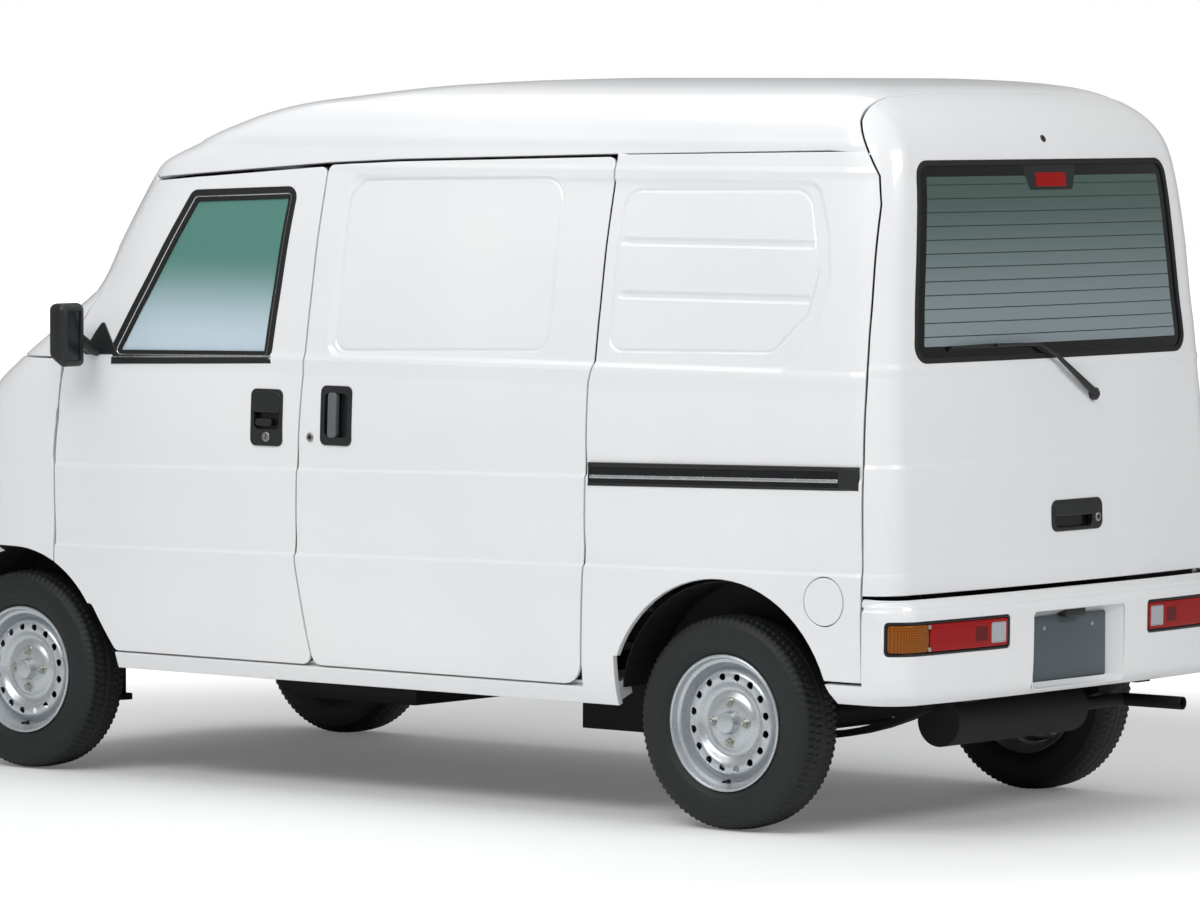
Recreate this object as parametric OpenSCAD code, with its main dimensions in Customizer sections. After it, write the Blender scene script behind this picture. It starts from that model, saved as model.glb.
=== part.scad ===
// Kei class high-roof panel van, right-hand drive.
// Millimetres. +X points forward, +Y to the left side, +Z up.
// The origin is on the ground, midway between the bumpers and on the centre line.

/* [Overall] */
// Distance between the front and rear axles
wheelbase = 2420; // [2050:5:2900]
// Front axle to the front face of the front bumper
front_overhang = 385; // [340:5:460]
// Rear axle to the rear face of the rear bumper
rear_overhang = 590; // [500:5:700]
// Width over the body sides
width = 1475; // [1230:5:1770]
// Height of the roof above the ground
height = 1880; // [1570:5:2250]

/* [Body shell] */
// Thickness of the doors, sides and tailgate, skin to lining
wall = 40; // [33:1:48]
// Shut line between two neighbouring panels
panel_gap = 6; // [5.5:0.5:8]
// Height of the lower edge of the sills
sill_z = 292; // [280:1:300]
// Height of the lower edge of the side doors
door_bottom_z = 340; // [335:1:350]
// Height of the lower edge of the side windows
belt_z = 1120; // [1110:1:1150]
// Height of the joint between tailgate and rear bumper
bumper_top_z = 609; // [600:1:620]
// Radius of the wheel arch openings in the body sides
arch_r = 350; // [340:1:360]
// Thickness of the window glass
glass_t = 5; // [4:0.5:6]
// Gap round a window pane
glass_gap = 0.4; // [0.3:0.1:0.8]
// Gap where two pieces are sealed or welded together
seat_gap = 0.3; // [0.2:0.1:0.5]

/* [Floor and frame] */
// Height of the load floor
cargo_floor_z = 670; // [660:1:700]
// Height of the cab floor
cab_floor_z = 440; // [425:1:460]
// Thickness of the floor panels
floor_t = 14; // [10:1:18]
// Width of one chassis rail
rail_w = 60; // [50:1:72]
// Height of a chassis rail
rail_h = 95; // [78:1:110]

/* [Wheels and steering] */
// Tyre outer diameter
tyre_d = 540; // [450:2:600]
// Tyre width
tyre_w = 145; // [120:1:165]
// Diameter of the rim flange
rim_d = 340; // [300:2:360]
// Body side to the outer face of the tyre
tyre_inset = 23; // [15:1:40]
// Steering lock to each side, degrees
steer_lock = 35; // [25:1:38]
// Steering wheel outer diameter
steering_wheel_d = 370; // [330:5:420]

/* [Hidden] */
$fn = 48;

// Named finishes
white_paint = "#eceeee";
black_trim = "#1c1d1e";
dark_steel = "#2a2b2d";
grey_plastic = "#6d7073";
wheel_silver = "#c4c7ca";
tinted_glass = [0.35, 0.5, 0.48, 0.5];

// Overall places
length = front_overhang + wheelbase + rear_overhang;
nose_x = length / 2;
tail_x = -length / 2;
front_axle_x = nose_x - front_overhang;
rear_axle_x = tail_x + rear_overhang;
half_w = width / 2;
axle_z = tyre_d / 2;
wheel_y = half_w - tyre_inset - tyre_w / 2;
kingpin_y = wheel_y - 40;
half_gap = panel_gap / 2;
cut = 1;          // how far a cutting solid runs past what it cuts
far = 2 * length; // longer than the vehicle, for half-space blocks

// The upper body keeps its proportions between the belt line and the roof
nominal_belt = 1120;
nominal_roof = 1880;
function up(z) = z <= nominal_belt ? z
    : nominal_belt + (z - nominal_belt) * (height - nominal_belt) / (nominal_roof - nominal_belt);

// Body surface tables at the heights where the shape changes:
// [height, inset of the side from the half width, nose to body front, tail to body rear]
body_table = [
    [ 292, 30,  90,  45],
    [ 340, 14,  62,  42],
    [ 420,  4,  48,  40],
    [ 600,  0,  42,  38],
    [ 700,  4,  43,  40],
    [ 850,  2,  50,  44],
    [ 940,  4,  65,  48],
    [1045,  8, 135,  58],
    [1120, 14, 225,  64],
    [1190, 20, 325,  67],
    [1260, 26, 425,  71],
    [1304, 31, 486,  75],
    [1450, 46, 572,  83],
    [1570, 65, 640,  91],
    [1645, 78, 686, 100],
    [1700, 88, 800, 112],
    [1740, 98, 895, 131],
    [1780, 118, 1010, 162],
    [1810, 146, 1140, 197],
    [1840, 198, 1370, 247],
    [1862, 282, 1610, 317],
    [1874, 378, 1850, 417],
    [1880, 500, 2100, 547]
];
function inset_at(z) = lookup(z, [for (r = body_table) [up(r[0]), r[1]]]);
function front_at(z) = nose_x - lookup(z, [for (r = body_table) [up(r[0]), r[2]]]);
function rear_at(z) = tail_x + lookup(z, [for (r = body_table) [up(r[0]), r[3]]]);

nose_depth = 480;         // how far back the nose curve starts, low down
screen_depth = 330;       // the same beside the windscreen
corner_r = 105;           // rear corner radius in plan
rear_bow = 24;            // rise of the rear face at its middle
nose_power = 4;           // squareness of the nose in plan
screen_power = 3;         // squareness of the windscreen in plan
nose_steps = 12;
corner_steps = 6;
rear_steps = 4;
roof_start_z = 1645;      // above this the lining drops away from the roof skin
roof_full_z = 1790;

function mix(a, b, t) = a + (b - a) * max(0, min(1, t));
function depth_at(z) = mix(nose_depth, screen_depth, (z - 940) / 200);
function power_at(z) = mix(nose_power, screen_power, (z - 940) / 200);

// Left half of a plan outline, nose to tail: superellipse nose, straight side, round corner
function half_outline(w, xf, xr, depth, power, r, bow, flat = 0) = concat(
    [for (i = [0 : nose_steps]) let (a = 90 - 90 * i / nose_steps)
        [xf - depth + depth * pow(sin(a), 2 / power), w * pow(cos(a), 2 / power)]],
    [for (i = [0 : corner_steps]) let (a = 90 * i / corner_steps)
        [xr + bow + r - r * sin(a), w - r + r * cos(a)]],
    [for (i = [1 : rear_steps]) let (y = (w - r) * (1 - i / rear_steps))
        [xr + bow * pow(max(0, y - flat) / (w - r - flat), 2), y]]
);
// Whole outline: the left half, then the right half back to the nose
function outline(h) = concat(h, [for (i = [len(h) - 2 : -1 : 1]) [h[i][0], -h[i][1]]]);

// A solid through a stack of outlines with equal numbers of points
module stack(rings, heights) {
    n = len(rings[0]);
    m = len(rings);
    points = [for (k = [0 : m - 1]) for (p = rings[k]) [p[0], p[1], heights[k]]];
    sides = [for (k = [0 : m - 2]) for (i = [0 : n - 1]) let (j = (i + 1) % n)
        each [[k * n + i, k * n + j, (k + 1) * n + j], [k * n + i, (k + 1) * n + j, (k + 1) * n + i]]];
    floor_face = [for (i = [n - 1 : -1 : 0]) i];
    top_face = [for (i = [0 : n - 1]) (m - 1) * n + i];
    polyhedron(points, concat([for (f = sides) [f[0], f[2], f[1]]],
        [[for (i = [n - 1 : -1 : 0]) floor_face[i]], [for (i = [n - 1 : -1 : 0]) top_face[i]]]), convexity = 6);
}

body_levels = [for (r = body_table) up(r[0])];

// The closed body form, its skin moved inwards by t; open_below runs it out of the bottom
module body_form(t, open_below = false) {
    zs = open_below ? concat([body_levels[0] - 60], body_levels) : body_levels;
    rings = [for (z0 = zs) let (z = max(z0, body_levels[0])) outline(half_outline(
        half_w - inset_at(z) - t, front_at(z) - t, rear_at(z) + t,
        depth_at(z), power_at(z), corner_r - min(t, 60), rear_bow))];
    heights = [for (z = zs) z - t * max(0, min(1, (z - up(roof_start_z)) / (up(roof_full_z) - up(roof_start_z))))];
    stack(rings, heights);
}
// Skin between two depths below the body surface
module body_shell(outer = 0, inner = wall) {
    difference() {
        body_form(outer);
        body_form(inner, open_below = true);
    }
}
// Evaluates its children as one mesh
module as_mesh() { resize([0, 0, 0]) children(); }
// A side-view outline (x, z) carried across the given band of y
module across(y0, y1) {
    translate([0, y1, 0]) rotate([90, 0, 0]) linear_extrude(y1 - y0) children();
}
// A rear-view outline (y, z) carried along the given band of x
module along(x0, x1) {
    translate([x0, 0, 0]) rotate([90, 0, 90]) linear_extrude(x1 - x0) children();
}
module rounded(r) { offset(r) offset(-r) children(); }
module both_sides() {
    children();
    mirror([0, 1, 0]) children();
}
module y_rod(d, y0, y1) { translate([0, y0, 0]) rotate([-90, 0, 0]) cylinder(d = d, h = y1 - y0); }
module x_rod(d, x0, x1) { translate([x0, 0, 0]) rotate([0, 90, 0]) cylinder(d = d, h = x1 - x0); }
module block(x0, x1, y0, y1, z0, z1) { translate([x0, y0, z0]) cube([x1 - x0, y1 - y0, z1 - z0]); }

// Side-view lines, x measured from the axle that each one belongs to
function fx(d) = front_axle_x - d;
function rx(d) = rear_axle_x + d;
a_seam_x = fx(148);
a_seam_top = [fx(174), belt_z];
a_pillar_top = [fx(448), up(1606)];
b_seam = [[fx(1072), door_bottom_z], [fx(1014), 616], [fx(1022), 860], [fx(1068), up(1650)]];
c_seam = [[rx(442), door_bottom_z], [rx(430), 660], [rx(424), 896], [rx(424), up(1153)], [rx(388), up(1679)]];
tail_seam = [[tail_x + 142, 200], [tail_x + 142, 900], [tail_x + 150, up(1570)], [tail_x + 162, up(1640)],
    [tail_x + 197, up(1700)], [tail_x + 240, up(1776)], [tail_x + 263, up(1840)], [tail_x + 266, up(2100)]];
gutter = [[fx(300), up(1652)], [fx(448), up(1612)], [fx(1068), up(1656)], [fx(1312), up(1667)],
    [rx(424), up(1685)], [tail_x + 190, up(1702)]];
// Straight shut-line edge of the front wheel arch, down to the sill
front_arch_foot = [fx(360), door_bottom_z - 4];
front_arch_r = 325;
arch_z = 280;

module front_door_outline() {
    difference() {
        polygon([[a_seam_x, 560], [a_seam_x, 860], a_seam_top, a_pillar_top,
            [gutter[2][0], gutter[2][1] - panel_gap], b_seam[3], b_seam[2], b_seam[1], b_seam[0],
            [fx(360), door_bottom_z]]);
        front_arch_outline();
    }
}
module front_arch_outline() {
    translate([front_axle_x, arch_z]) circle(front_arch_r);
    polygon([[front_axle_x, 100], [fx(372), 100], front_arch_foot, [fx(284), 462], [fx(140), 470]]);
}
module rear_arch_outline() {
    translate([rear_axle_x, arch_z]) circle(arch_r);
    polygon([[rx(-300), 450], [rx(-366), 330], [rx(-366), 100], [rx(330), 100], [rx(330), 420]]);
}
module sliding_door_outline() {
    rounded(30) polygon([b_seam[0], b_seam[1], b_seam[2], b_seam[3],
        [gutter[2][0], gutter[2][1] - panel_gap], [gutter[4][0], gutter[4][1] - panel_gap],
        c_seam[4], c_seam[3], c_seam[2], c_seam[1], c_seam[0]]);
}
module tailgate_side_outline() {
    polygon(concat(tail_seam, [[tail_x - 300, up(2100)], [tail_x - 300, 200]]));
}
module above_gutter_outline() {
    polygon(concat([[far, up(1652)]], gutter, [[-far, gutter[5][1]], [-far, up(2200)], [far, up(2200)]]));
}

// Window outlines
door_window = [[fx(330), belt_z + 2], [fx(602), up(1578)], [fx(970), up(1592)], [fx(918), up(1133)]];
door_window_r = 28;
module door_window_outline() { rounded(door_window_r) polygon(door_window); }
back_window_low = up(1182);
back_window_high = up(1672);
back_window_r = 40;
module back_window_outline() {
    low = half_w - 150;
    high = half_w - 205;
    rounded(back_window_r) polygon([[-low, back_window_low], [low, back_window_low],
        [high, back_window_high], [-high, back_window_high]]);
}
screen_low = up(1180);
screen_high = up(1612);
screen_r = 45;
module screen_outline() {
    low = half_w - 106;
    high = half_w - 150;
    rounded(screen_r) polygon([[-low, screen_low], [low, screen_low], [high, screen_high], [-high, screen_high]]);
}

// ---- Panels of the shell -------------------------------------------------

// The space that a panel and its seal need in the shell, for a side-view outline
module room(y0 = 0) intersection() {
    body_shell(-cut, wall + seat_gap);
    across(y0, half_w + 2 * cut) children();
}
// Strip behind the shut line of the tailgate, where its seal rests
ledge_t = 18;
ledge_w = 32;
module tailgate_strip() difference() {
    offset(delta = ledge_w) tailgate_side_outline();
    offset(delta = -ledge_w) tailgate_side_outline();
    translate([-far, -far]) square([2 * far, far + bumper_top_z + 40]);
}

module roof() color(white_paint) as_mesh() difference() {
    union() {
        intersection() {
            body_shell();
            across(-half_w, half_w) above_gutter_outline();
        }
        // Header under the tailgate's upper edge
        intersection() {
            body_shell(wall / 2, wall + ledge_t);
            across(-half_w, half_w) intersection() {
                offset(delta = -ledge_t) above_gutter_outline();
                tailgate_strip();
            }
        }
    }
    room(-half_w - 2 * cut) offset(delta = half_gap) tailgate_side_outline();
}

module side_region() difference() {
    polygon([[fx(356), sill_z - 10], [fx(356), door_bottom_z], [fx(500), up(1500)], [fx(500), up(1800)],
        [tail_x - 10, up(1800)], [tail_x - 10, sill_z - 10]]);
    rear_arch_outline();
    polygon([[rx(-200), 100], [rx(-200), bumper_foot_z], [tail_x - 10, bumper_foot_z], [tail_x - 10, 100]]);
}
bumper_foot_z = 394;      // side panel ends here behind the rear wheel
pillar_t = 36;            // depth of the pillars behind the doors
pillar_w = 80;
fuel_door_d = 120;
fuel_door = [rx(-334), 592];
fuel_pocket_depth = 26;
fuel_ledge_w = 10;

module side_panel() difference() {
    union() {
        intersection() {
            body_shell();
            across(0, half_w + cut) side_region();
        }
        intersection() {
            body_shell(wall / 2, wall + pillar_t);
            union() {
                // The B pillar stands behind the meeting edges of the two doors
                block(fx(1080), fx(1080) + pillar_w, 0, half_w, sill_z + 5, up(1690));
                // Sill box under the doors carries the pillar
                block(rx(340), fx(380), 0, half_w, sill_z + 5, door_bottom_z - 5);
            }
        }
        intersection() {
            body_shell(wall / 2, wall + ledge_t);
            across(half_w - 140, half_w) tailgate_strip();
        }
    }
    room() offset(delta = half_gap) front_door_outline();
    room() offset(delta = half_gap) sliding_door_outline();
    room() offset(delta = half_gap) tailgate_side_outline();
    across(0, half_w + 2 * cut) offset(delta = seat_gap) above_gutter_outline();
}
module side_panel_left() color(white_paint) as_mesh() difference() {
    side_panel();
    // Filler pocket, with a ledge for the seal of its lid
    translate([fuel_door[0], 0, fuel_door[1]]) {
        y_rod(fuel_door_d - 2 * fuel_ledge_w, half_w - fuel_pocket_depth, half_w + cut);
        intersection() {
            y_rod(fuel_door_d + 2 * half_gap, half_w - fuel_pocket_depth, half_w + cut);
            translate([-fuel_door[0], 0, -fuel_door[1]]) body_shell(-cut, 0.5 + fuel_lid_t + seat_gap);
        }
    }
}
module side_panel_right() color(white_paint) as_mesh() mirror([0, 1, 0]) side_panel();

module sliding_door() intersection() {
    body_shell();
    across(0, half_w + cut) offset(delta = -half_gap) sliding_door_outline();
}
module sliding_door_left() color(white_paint) as_mesh() sliding_door();
module sliding_door_right() color(white_paint) as_mesh() mirror([0, 1, 0]) sliding_door();

module front_door() difference() {
    intersection() {
        body_shell();
        across(0, half_w + cut) offset(delta = -half_gap) front_door_outline();
    }
    across(0, half_w + cut) door_window_outline();
}
module front_door_left() color(white_paint) as_mesh() front_door();
module front_door_right() color(white_paint) as_mesh() mirror([0, 1, 0]) front_door();

glass_depth = 12;
module door_glass() intersection() {
    body_shell(glass_depth, glass_depth + glass_t);
    across(0, half_w) offset(delta = -glass_gap) door_window_outline();
}
module door_glass_left() color(tinted_glass) as_mesh() door_glass();
module door_glass_right() color(tinted_glass) as_mesh() mirror([0, 1, 0]) door_glass();

module back_door() color(white_paint) as_mesh() difference() {
    intersection() {
        body_shell();
        across(-half_w, half_w) intersection() {
            offset(delta = -half_gap) tailgate_side_outline();
            translate([-far, bumper_top_z + half_gap]) square([2 * far, 2 * far]);
        }
    }
    along(tail_x - cut, tail_x + 300) back_window_outline();
}
module back_window() color(tinted_glass) as_mesh() intersection() {
    body_shell(2, 2 + glass_t);
    along(tail_x - cut, tail_x + 300) offset(delta = -glass_gap) back_window_outline();
}

cab_frame_low = belt_z + 4;
module cab_frame() color(white_paint) as_mesh() difference() {
    intersection() {
        body_shell();
        across(-half_w, half_w) difference() {
            polygon([[a_seam_x - 40, cab_frame_low + half_gap], [nose_x, cab_frame_low + half_gap],
                [nose_x, up(1800)], [fx(600), up(1800)]]);
            offset(delta = half_gap) polygon([a_seam_top, a_pillar_top, [fx(700), up(1606)], [fx(700), belt_z - 60],
                [a_seam_x, belt_z - 60]]);
            offset(delta = seat_gap) above_gutter_outline();
            // The side roof rail above the doors belongs to the roof
            translate([-far, 0]) square([far + fx(430), far]);
        }
    }
    along(fx(500), nose_x) screen_outline();
}
module windscreen() color(tinted_glass) as_mesh() intersection() {
    body_shell(3, 3 + glass_t);
    along(fx(500), nose_x) offset(delta = -glass_gap) screen_outline();
}

fender_y = half_w - 165;  // the lid and front panel reach this far from the centre line
nose_split_z = 932;       // lower edge of the lid
lamp_low = 725;
lamp_high = 905;
lamp_in = half_w - 335;
lamp_out = half_w - 62;
lamp_seam = 1.5;          // half the slot round a headlamp
module headlamp_outline() rounded(25) polygon([[lamp_in + 25, lamp_low], [lamp_out, lamp_low + 25],
    [lamp_out, lamp_high], [lamp_in, lamp_high - 12]]);
module front_fenders() color(white_paint) as_mesh() both_sides() difference() {
    intersection() {
        body_shell(0, wall / 2);
        across(fender_y + half_gap, half_w + cut) difference() {
            polygon([[a_seam_x + half_gap, bumper_top_z + half_gap], [a_seam_x + half_gap, 860],
                [a_seam_top[0] + half_gap, cab_frame_low - half_gap], [nose_x, cab_frame_low - half_gap],
                [nose_x, bumper_top_z + half_gap]]);
            front_arch_outline();
        }
    }
    along(fx(0), nose_x) offset(delta = lamp_seam) headlamp_outline();
}
module front_panel() color(white_paint) as_mesh() difference() {
    union() {
        intersection() {
            body_shell();
            block(fx(-120), nose_x, -fender_y + half_gap, fender_y - half_gap, bumper_top_z + half_gap, nose_split_z);
        }
        // Ledge under the front edge of the lid
        intersection() {
            body_shell(wall / 2, wall + ledge_t);
            block(fx(-120), nose_x, -fender_y + ledge_w, fender_y - ledge_w, lamp_high + 5, nose_split_z + 22);
        }
    }
    both_sides() along(fx(0), nose_x) offset(delta = lamp_seam) headlamp_outline();
    intersection() {
        body_shell(-cut, wall + seat_gap);
        block(fx(-50), nose_x, -half_w, half_w, nose_split_z - half_gap, belt_z);
    }
}
module front_lid() color(white_paint) as_mesh() intersection() {
    body_shell();
    block(fx(-50), nose_x, -fender_y + half_gap, fender_y - half_gap, nose_split_z + half_gap, cab_frame_low - half_gap);
}
module headlamps() color("#dfe6ea") as_mesh() both_sides() intersection() {
    body_shell(1, wall);
    along(fx(0), nose_x) offset(delta = lamp_seam - glass_gap) headlamp_outline();
}

// ---- Bumpers ---------------------------------------------------------------

// [height, side inset, front or rear inset]
front_bumper_table = [[250, 40, 60], [285, 12, 22], [330, 4, 8], [430, 0, 0], [540, 0, 2], [590, 4, 14],
    [bumper_top_z - half_gap, 10, 32]];
rear_bumper_table = [[338, 22, 26], [365, 6, 8], [420, 0, 2], [540, 0, 0], [585, 2, 8],
    [bumper_top_z - half_gap, 8, 30]];
bumper_t = 30;
bumper_corner_r = 95;
module front_bumper_form(t, grow) {
    rows = front_bumper_table;
    stack([for (r = rows) outline(half_outline(half_w - r[1] - t, nose_x - r[2] - t, tail_x,
        nose_depth, nose_power, corner_r, rear_bow))],
        [for (i = [0 : len(rows) - 1]) rows[i][0] + (i == 0 ? -grow : i == len(rows) - 1 ? grow : 0)]);
}
module front_bumper() color(white_paint) as_mesh() difference() {
    union() {
        difference() {
            front_bumper_form(0, 0);
            front_bumper_form(bumper_t, cut);
        }
        // Brackets to the ends of the chassis rails
        both_sides() block(rail_front_x + seat_gap, nose_x - bumper_t - 5, rail_y + 6, rail_y + rail_w - 6,
            rail_top - rail_h + 15, rail_top - 15);
    }
    across(-half_w - cut, half_w + cut) union() {
        front_arch_outline();
        translate([-far, 100]) square([far + front_axle_x, 600]);
    }
    // Cooling slot
    block(nose_x - 200, nose_x + cut, -260, 260, 330, 400);
}
lamp_z = [465, 550];
lamp_y0 = half_w - 437;
plate_recess = [200, 355, 548];
module rear_bumper_form(t, grow) {
    rows = rear_bumper_table;
    stack([for (r = rows) outline(half_outline(half_w - r[1] - t, nose_x, tail_x + r[2] + t,
        nose_depth, nose_power, bumper_corner_r - t, rear_bow - 4, plate_recess[0] + 20))],
        [for (i = [0 : len(rows) - 1]) rows[i][0] + (i == 0 ? -grow : i == len(rows) - 1 ? grow : 0)]);
}
module tail_lamp_outline() rounded(12) translate([lamp_y0, lamp_z[0]]) square([half_w - lamp_y0 + 20, lamp_z[1] - lamp_z[0]]);
lamp_front_x = tail_x + 76;
module rear_bumper() color(white_paint) as_mesh() difference() {
    rear_bumper_form(0, 0);
    rear_bumper_form(bumper_t, cut);
    across(-half_w - cut, half_w + cut) union() {
        rear_arch_outline();
        translate([tail_x + 142 + half_gap, bumper_foot_z - half_gap]) square([far, 400]);
        translate([rear_axle_x, 100]) square([far, 600]);
    }
    both_sides() along(tail_x - cut, lamp_front_x + 2) offset(delta = 2) tail_lamp_outline();
    along(tail_x - cut, tail_x + 60) plate_opening();
}
module plate_opening() rounded(14) polygon([[-plate_recess[0], plate_recess[1]], [plate_recess[0], plate_recess[1]],
    [plate_recess[0], plate_recess[2]], [-plate_recess[0], plate_recess[2]]]);
plate_depth = 46;         // bumper face to the bottom of the plate recess
plate_wall = 4;
plate_bolts = 210;        // distance between the two plate screws
plate_bolt_d = 7;
module plate_carrier() color(black_trim) difference() {
    along(tail_x + 4, tail_x + plate_depth + plate_wall) offset(delta = -seat_gap) plate_opening();
    along(tail_x, tail_x + plate_depth) offset(delta = -seat_gap - plate_wall) plate_opening();
    for (s = [-1, 1]) translate([0, s * plate_bolts / 2, plate_bolt_z])
        x_rod(plate_bolt_d, tail_x, tail_x + plate_depth + 2 * plate_wall);
}
plate_bolt_z = 500;
module tail_lamps() color("#b3161c") as_mesh() both_sides() intersection() {
    difference() {
        rear_bumper_form(3, 0);
        rear_bumper_form(bumper_t + 8, cut);
    }
    along(tail_x - cut, lamp_front_x) offset(delta = 1.5) tail_lamp_outline();
}

// ---- Sliding door rails ------------------------------------------------------

rail_x = [rx(418), tail_x + 150];
module sliding_rails() color(black_trim) as_mesh() both_sides() intersection() {
    body_shell(-4, -0.3);
    across(0, half_w + 20) polygon([[rail_x[0], 848], [rail_x[0], 908], [rail_x[1], 926], [rail_x[1], 868]]);
}

// ---- Floor, frame and running gear --------------------------------------------

floor_y = half_w - wall - 10;
bulkhead_x = fx(-70);
riser_x = fx(980);
lock_room = 27;           // inner wall of a front wheel house past the tyre on full lock
wheel_house_y = kingpin_y - tyre_d / 2 * sin(steer_lock) - lock_room;
house_t = 4;
front_house_r = 335;
rear_house_r = arch_r + 6;
door_room = 12;           // clear of the doors' lining
rest_face_t = 2;          // the load floor's top face stops this far short of the walls
rear_house_y = wheel_y - tyre_w / 2 - 25;
module wheel_house(x, r, y0, y1) difference() {
    translate([x, 0, arch_z]) y_rod(2 * r + 2 * house_t, y0, y1);
    translate([x, 0, arch_z]) y_rod(2 * r, y0 + house_t, y1 + cut);
    block(x - r - 20, x + r + 20, y0 - cut, y1 + cut, arch_z - r - 20, arch_z + 60);
}
// What the floor panels and wheel houses have to leave free
module floor_limits() {
    // The load floor's top edge stands off the walls, so that a flat sheet lies on it
    intersection() {
        body_shell(-cut, wall + rest_face_t);
        block(tail_x, riser_x, -half_w, half_w, cargo_floor_z - rest_face_t, cargo_floor_z + cut);
    }
    // Pillars and sill boxes
    intersection() {
        body_shell(wall / 2, wall + pillar_t + rest_face_t);
        both_sides() {
            block(fx(1080) - rest_face_t, fx(1080) + pillar_w + rest_face_t, 0, half_w, sill_z, up(1690));
            block(rx(340) - rest_face_t, fx(380) + rest_face_t, 0, half_w, sill_z, door_bottom_z - 5 + rest_face_t);
        }
    }
    // Ledges behind the tailgate's shut line
    intersection() {
        body_shell(wall / 2, wall + ledge_t + rest_face_t);
        across(-half_w, half_w) offset(delta = rest_face_t) tailgate_strip();
    }
    // The doors and the tailgate swing past
    intersection() {
        body_shell(-cut, wall + door_room);
        union() {
            block(b_seam[1][0] + pillar_w, a_seam_x + 40, -half_w, half_w, sill_z, 800);
            across(-half_w, half_w) offset(delta = 14) tailgate_side_outline();
        }
    }
    // Everything outside the back of the front bumper
    difference() {
        block(front_axle_x, nose_x, -half_w - cut, half_w + cut, sill_z, bumper_top_z);
        front_bumper_form(bumper_t + seat_gap, wall);
    }
}
module floor_pan() color(white_paint) as_mesh() difference() {
    intersection() {
        floor_panels();
        body_form(wall + seat_gap, open_below = true);
    }
    floor_limits();
}
module floor_panels() {
    // Load floor
    block(tail_x + 112, riser_x, -half_w, half_w, cargo_floor_z - floor_t, cargo_floor_z);
    // Riser behind the seats
    block(riser_x - floor_t, riser_x, -floor_y, floor_y, cab_floor_z - floor_t, cargo_floor_z - floor_t);
    // Cab floor behind and between the front wheels
    block(riser_x, fx(345), -floor_y, floor_y, cab_floor_z - floor_t, cab_floor_z);
    block(fx(345), bulkhead_x, -wheel_house_y, wheel_house_y, cab_floor_z - floor_t, cab_floor_z);
    // Bulkhead
    block(bulkhead_x, bulkhead_x + floor_t, -wheel_house_y, wheel_house_y, cab_floor_z - floor_t, 900);
    both_sides() wheel_house(front_axle_x, front_house_r, wheel_house_y, half_w);
    // Aprons from the bulkhead to the front panel
    both_sides() block(bulkhead_x, nose_x, wheel_house_y - floor_t, wheel_house_y, 640, 880);
    both_sides() {
        wheel_house(rear_axle_x, rear_house_r - 14, rear_house_y, half_w);
        // Web from the house up to the load floor
        block(rear_axle_x - 160, rear_axle_x + 160, rear_house_y, rear_house_y + house_t,
            arch_z + rear_house_r - 60, cargo_floor_z - floor_t);
    }
}

rail_y = wheel_house_y - rail_w - 12;
rail_top = cab_floor_z - floor_t;
rail_front_x = nose_x - 60;
cross_x = [fx(-200), fx(190), fx(560), fx(1150), rx(430), rx(-180), rx(-425)];
module chassis_frame() color(dark_steel) {
    both_sides() block(tail_x + 66, rail_front_x, rail_y, rail_y + rail_w, rail_top - rail_h, rail_top);
    for (x = cross_x)
        block(x - 25, x + 25, -rail_y, rail_y, rail_top - rail_h + 15, rail_top - 20);
    // Outriggers to the sills
    both_sides() for (x = [fx(420), fx(960), rx(420)])
        block(x - 20, x + 20, rail_y + rail_w, floor_y - 40, rail_top - 50, rail_top - 5);
    // Posts from the rails to the load floor
    both_sides() for (x = [fx(1150), rx(430), rx(-425)])
        block(x - 25, x + 25, rail_y, rail_y + rail_w, rail_top, cargo_floor_z - floor_t - seat_gap);
}

arm_z = axle_z - 88;
strut_y = wheel_y - 150;
module front_suspension() color(dark_steel) both_sides() {
    // Lower arm from the rail to the ball joint
    difference() {
        union() {
            translate([front_axle_x, 0, arm_z]) hull() {
                translate([0, kingpin_y, -12]) cylinder(d = 44, h = 16);
                translate([-70, rail_y + rail_w - 30, -12]) cylinder(d = 50, h = 16);
                translate([70, rail_y + rail_w - 30, -12]) cylinder(d = 50, h = 16);
            }
            // Bracket up to the rail
            block(front_axle_x - 60, front_axle_x + 60, rail_y + 8, rail_y + rail_w - 8, arm_z, rail_top - rail_h);
        }
        translate([front_axle_x, kingpin_y, arm_z - 20]) cylinder(d = 21, h = 40);
    }
    // Damper and its spring cup, standing on the arm
    translate([front_axle_x, strut_y, arm_z]) cylinder(d = 44, h = 210);
    translate([front_axle_x, strut_y, arm_z + 210]) cylinder(d = 24, h = arch_z + front_house_r - arm_z - 214);
    translate([front_axle_x, strut_y, arm_z + 150]) cylinder(d = 84, h = 6);
}

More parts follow.
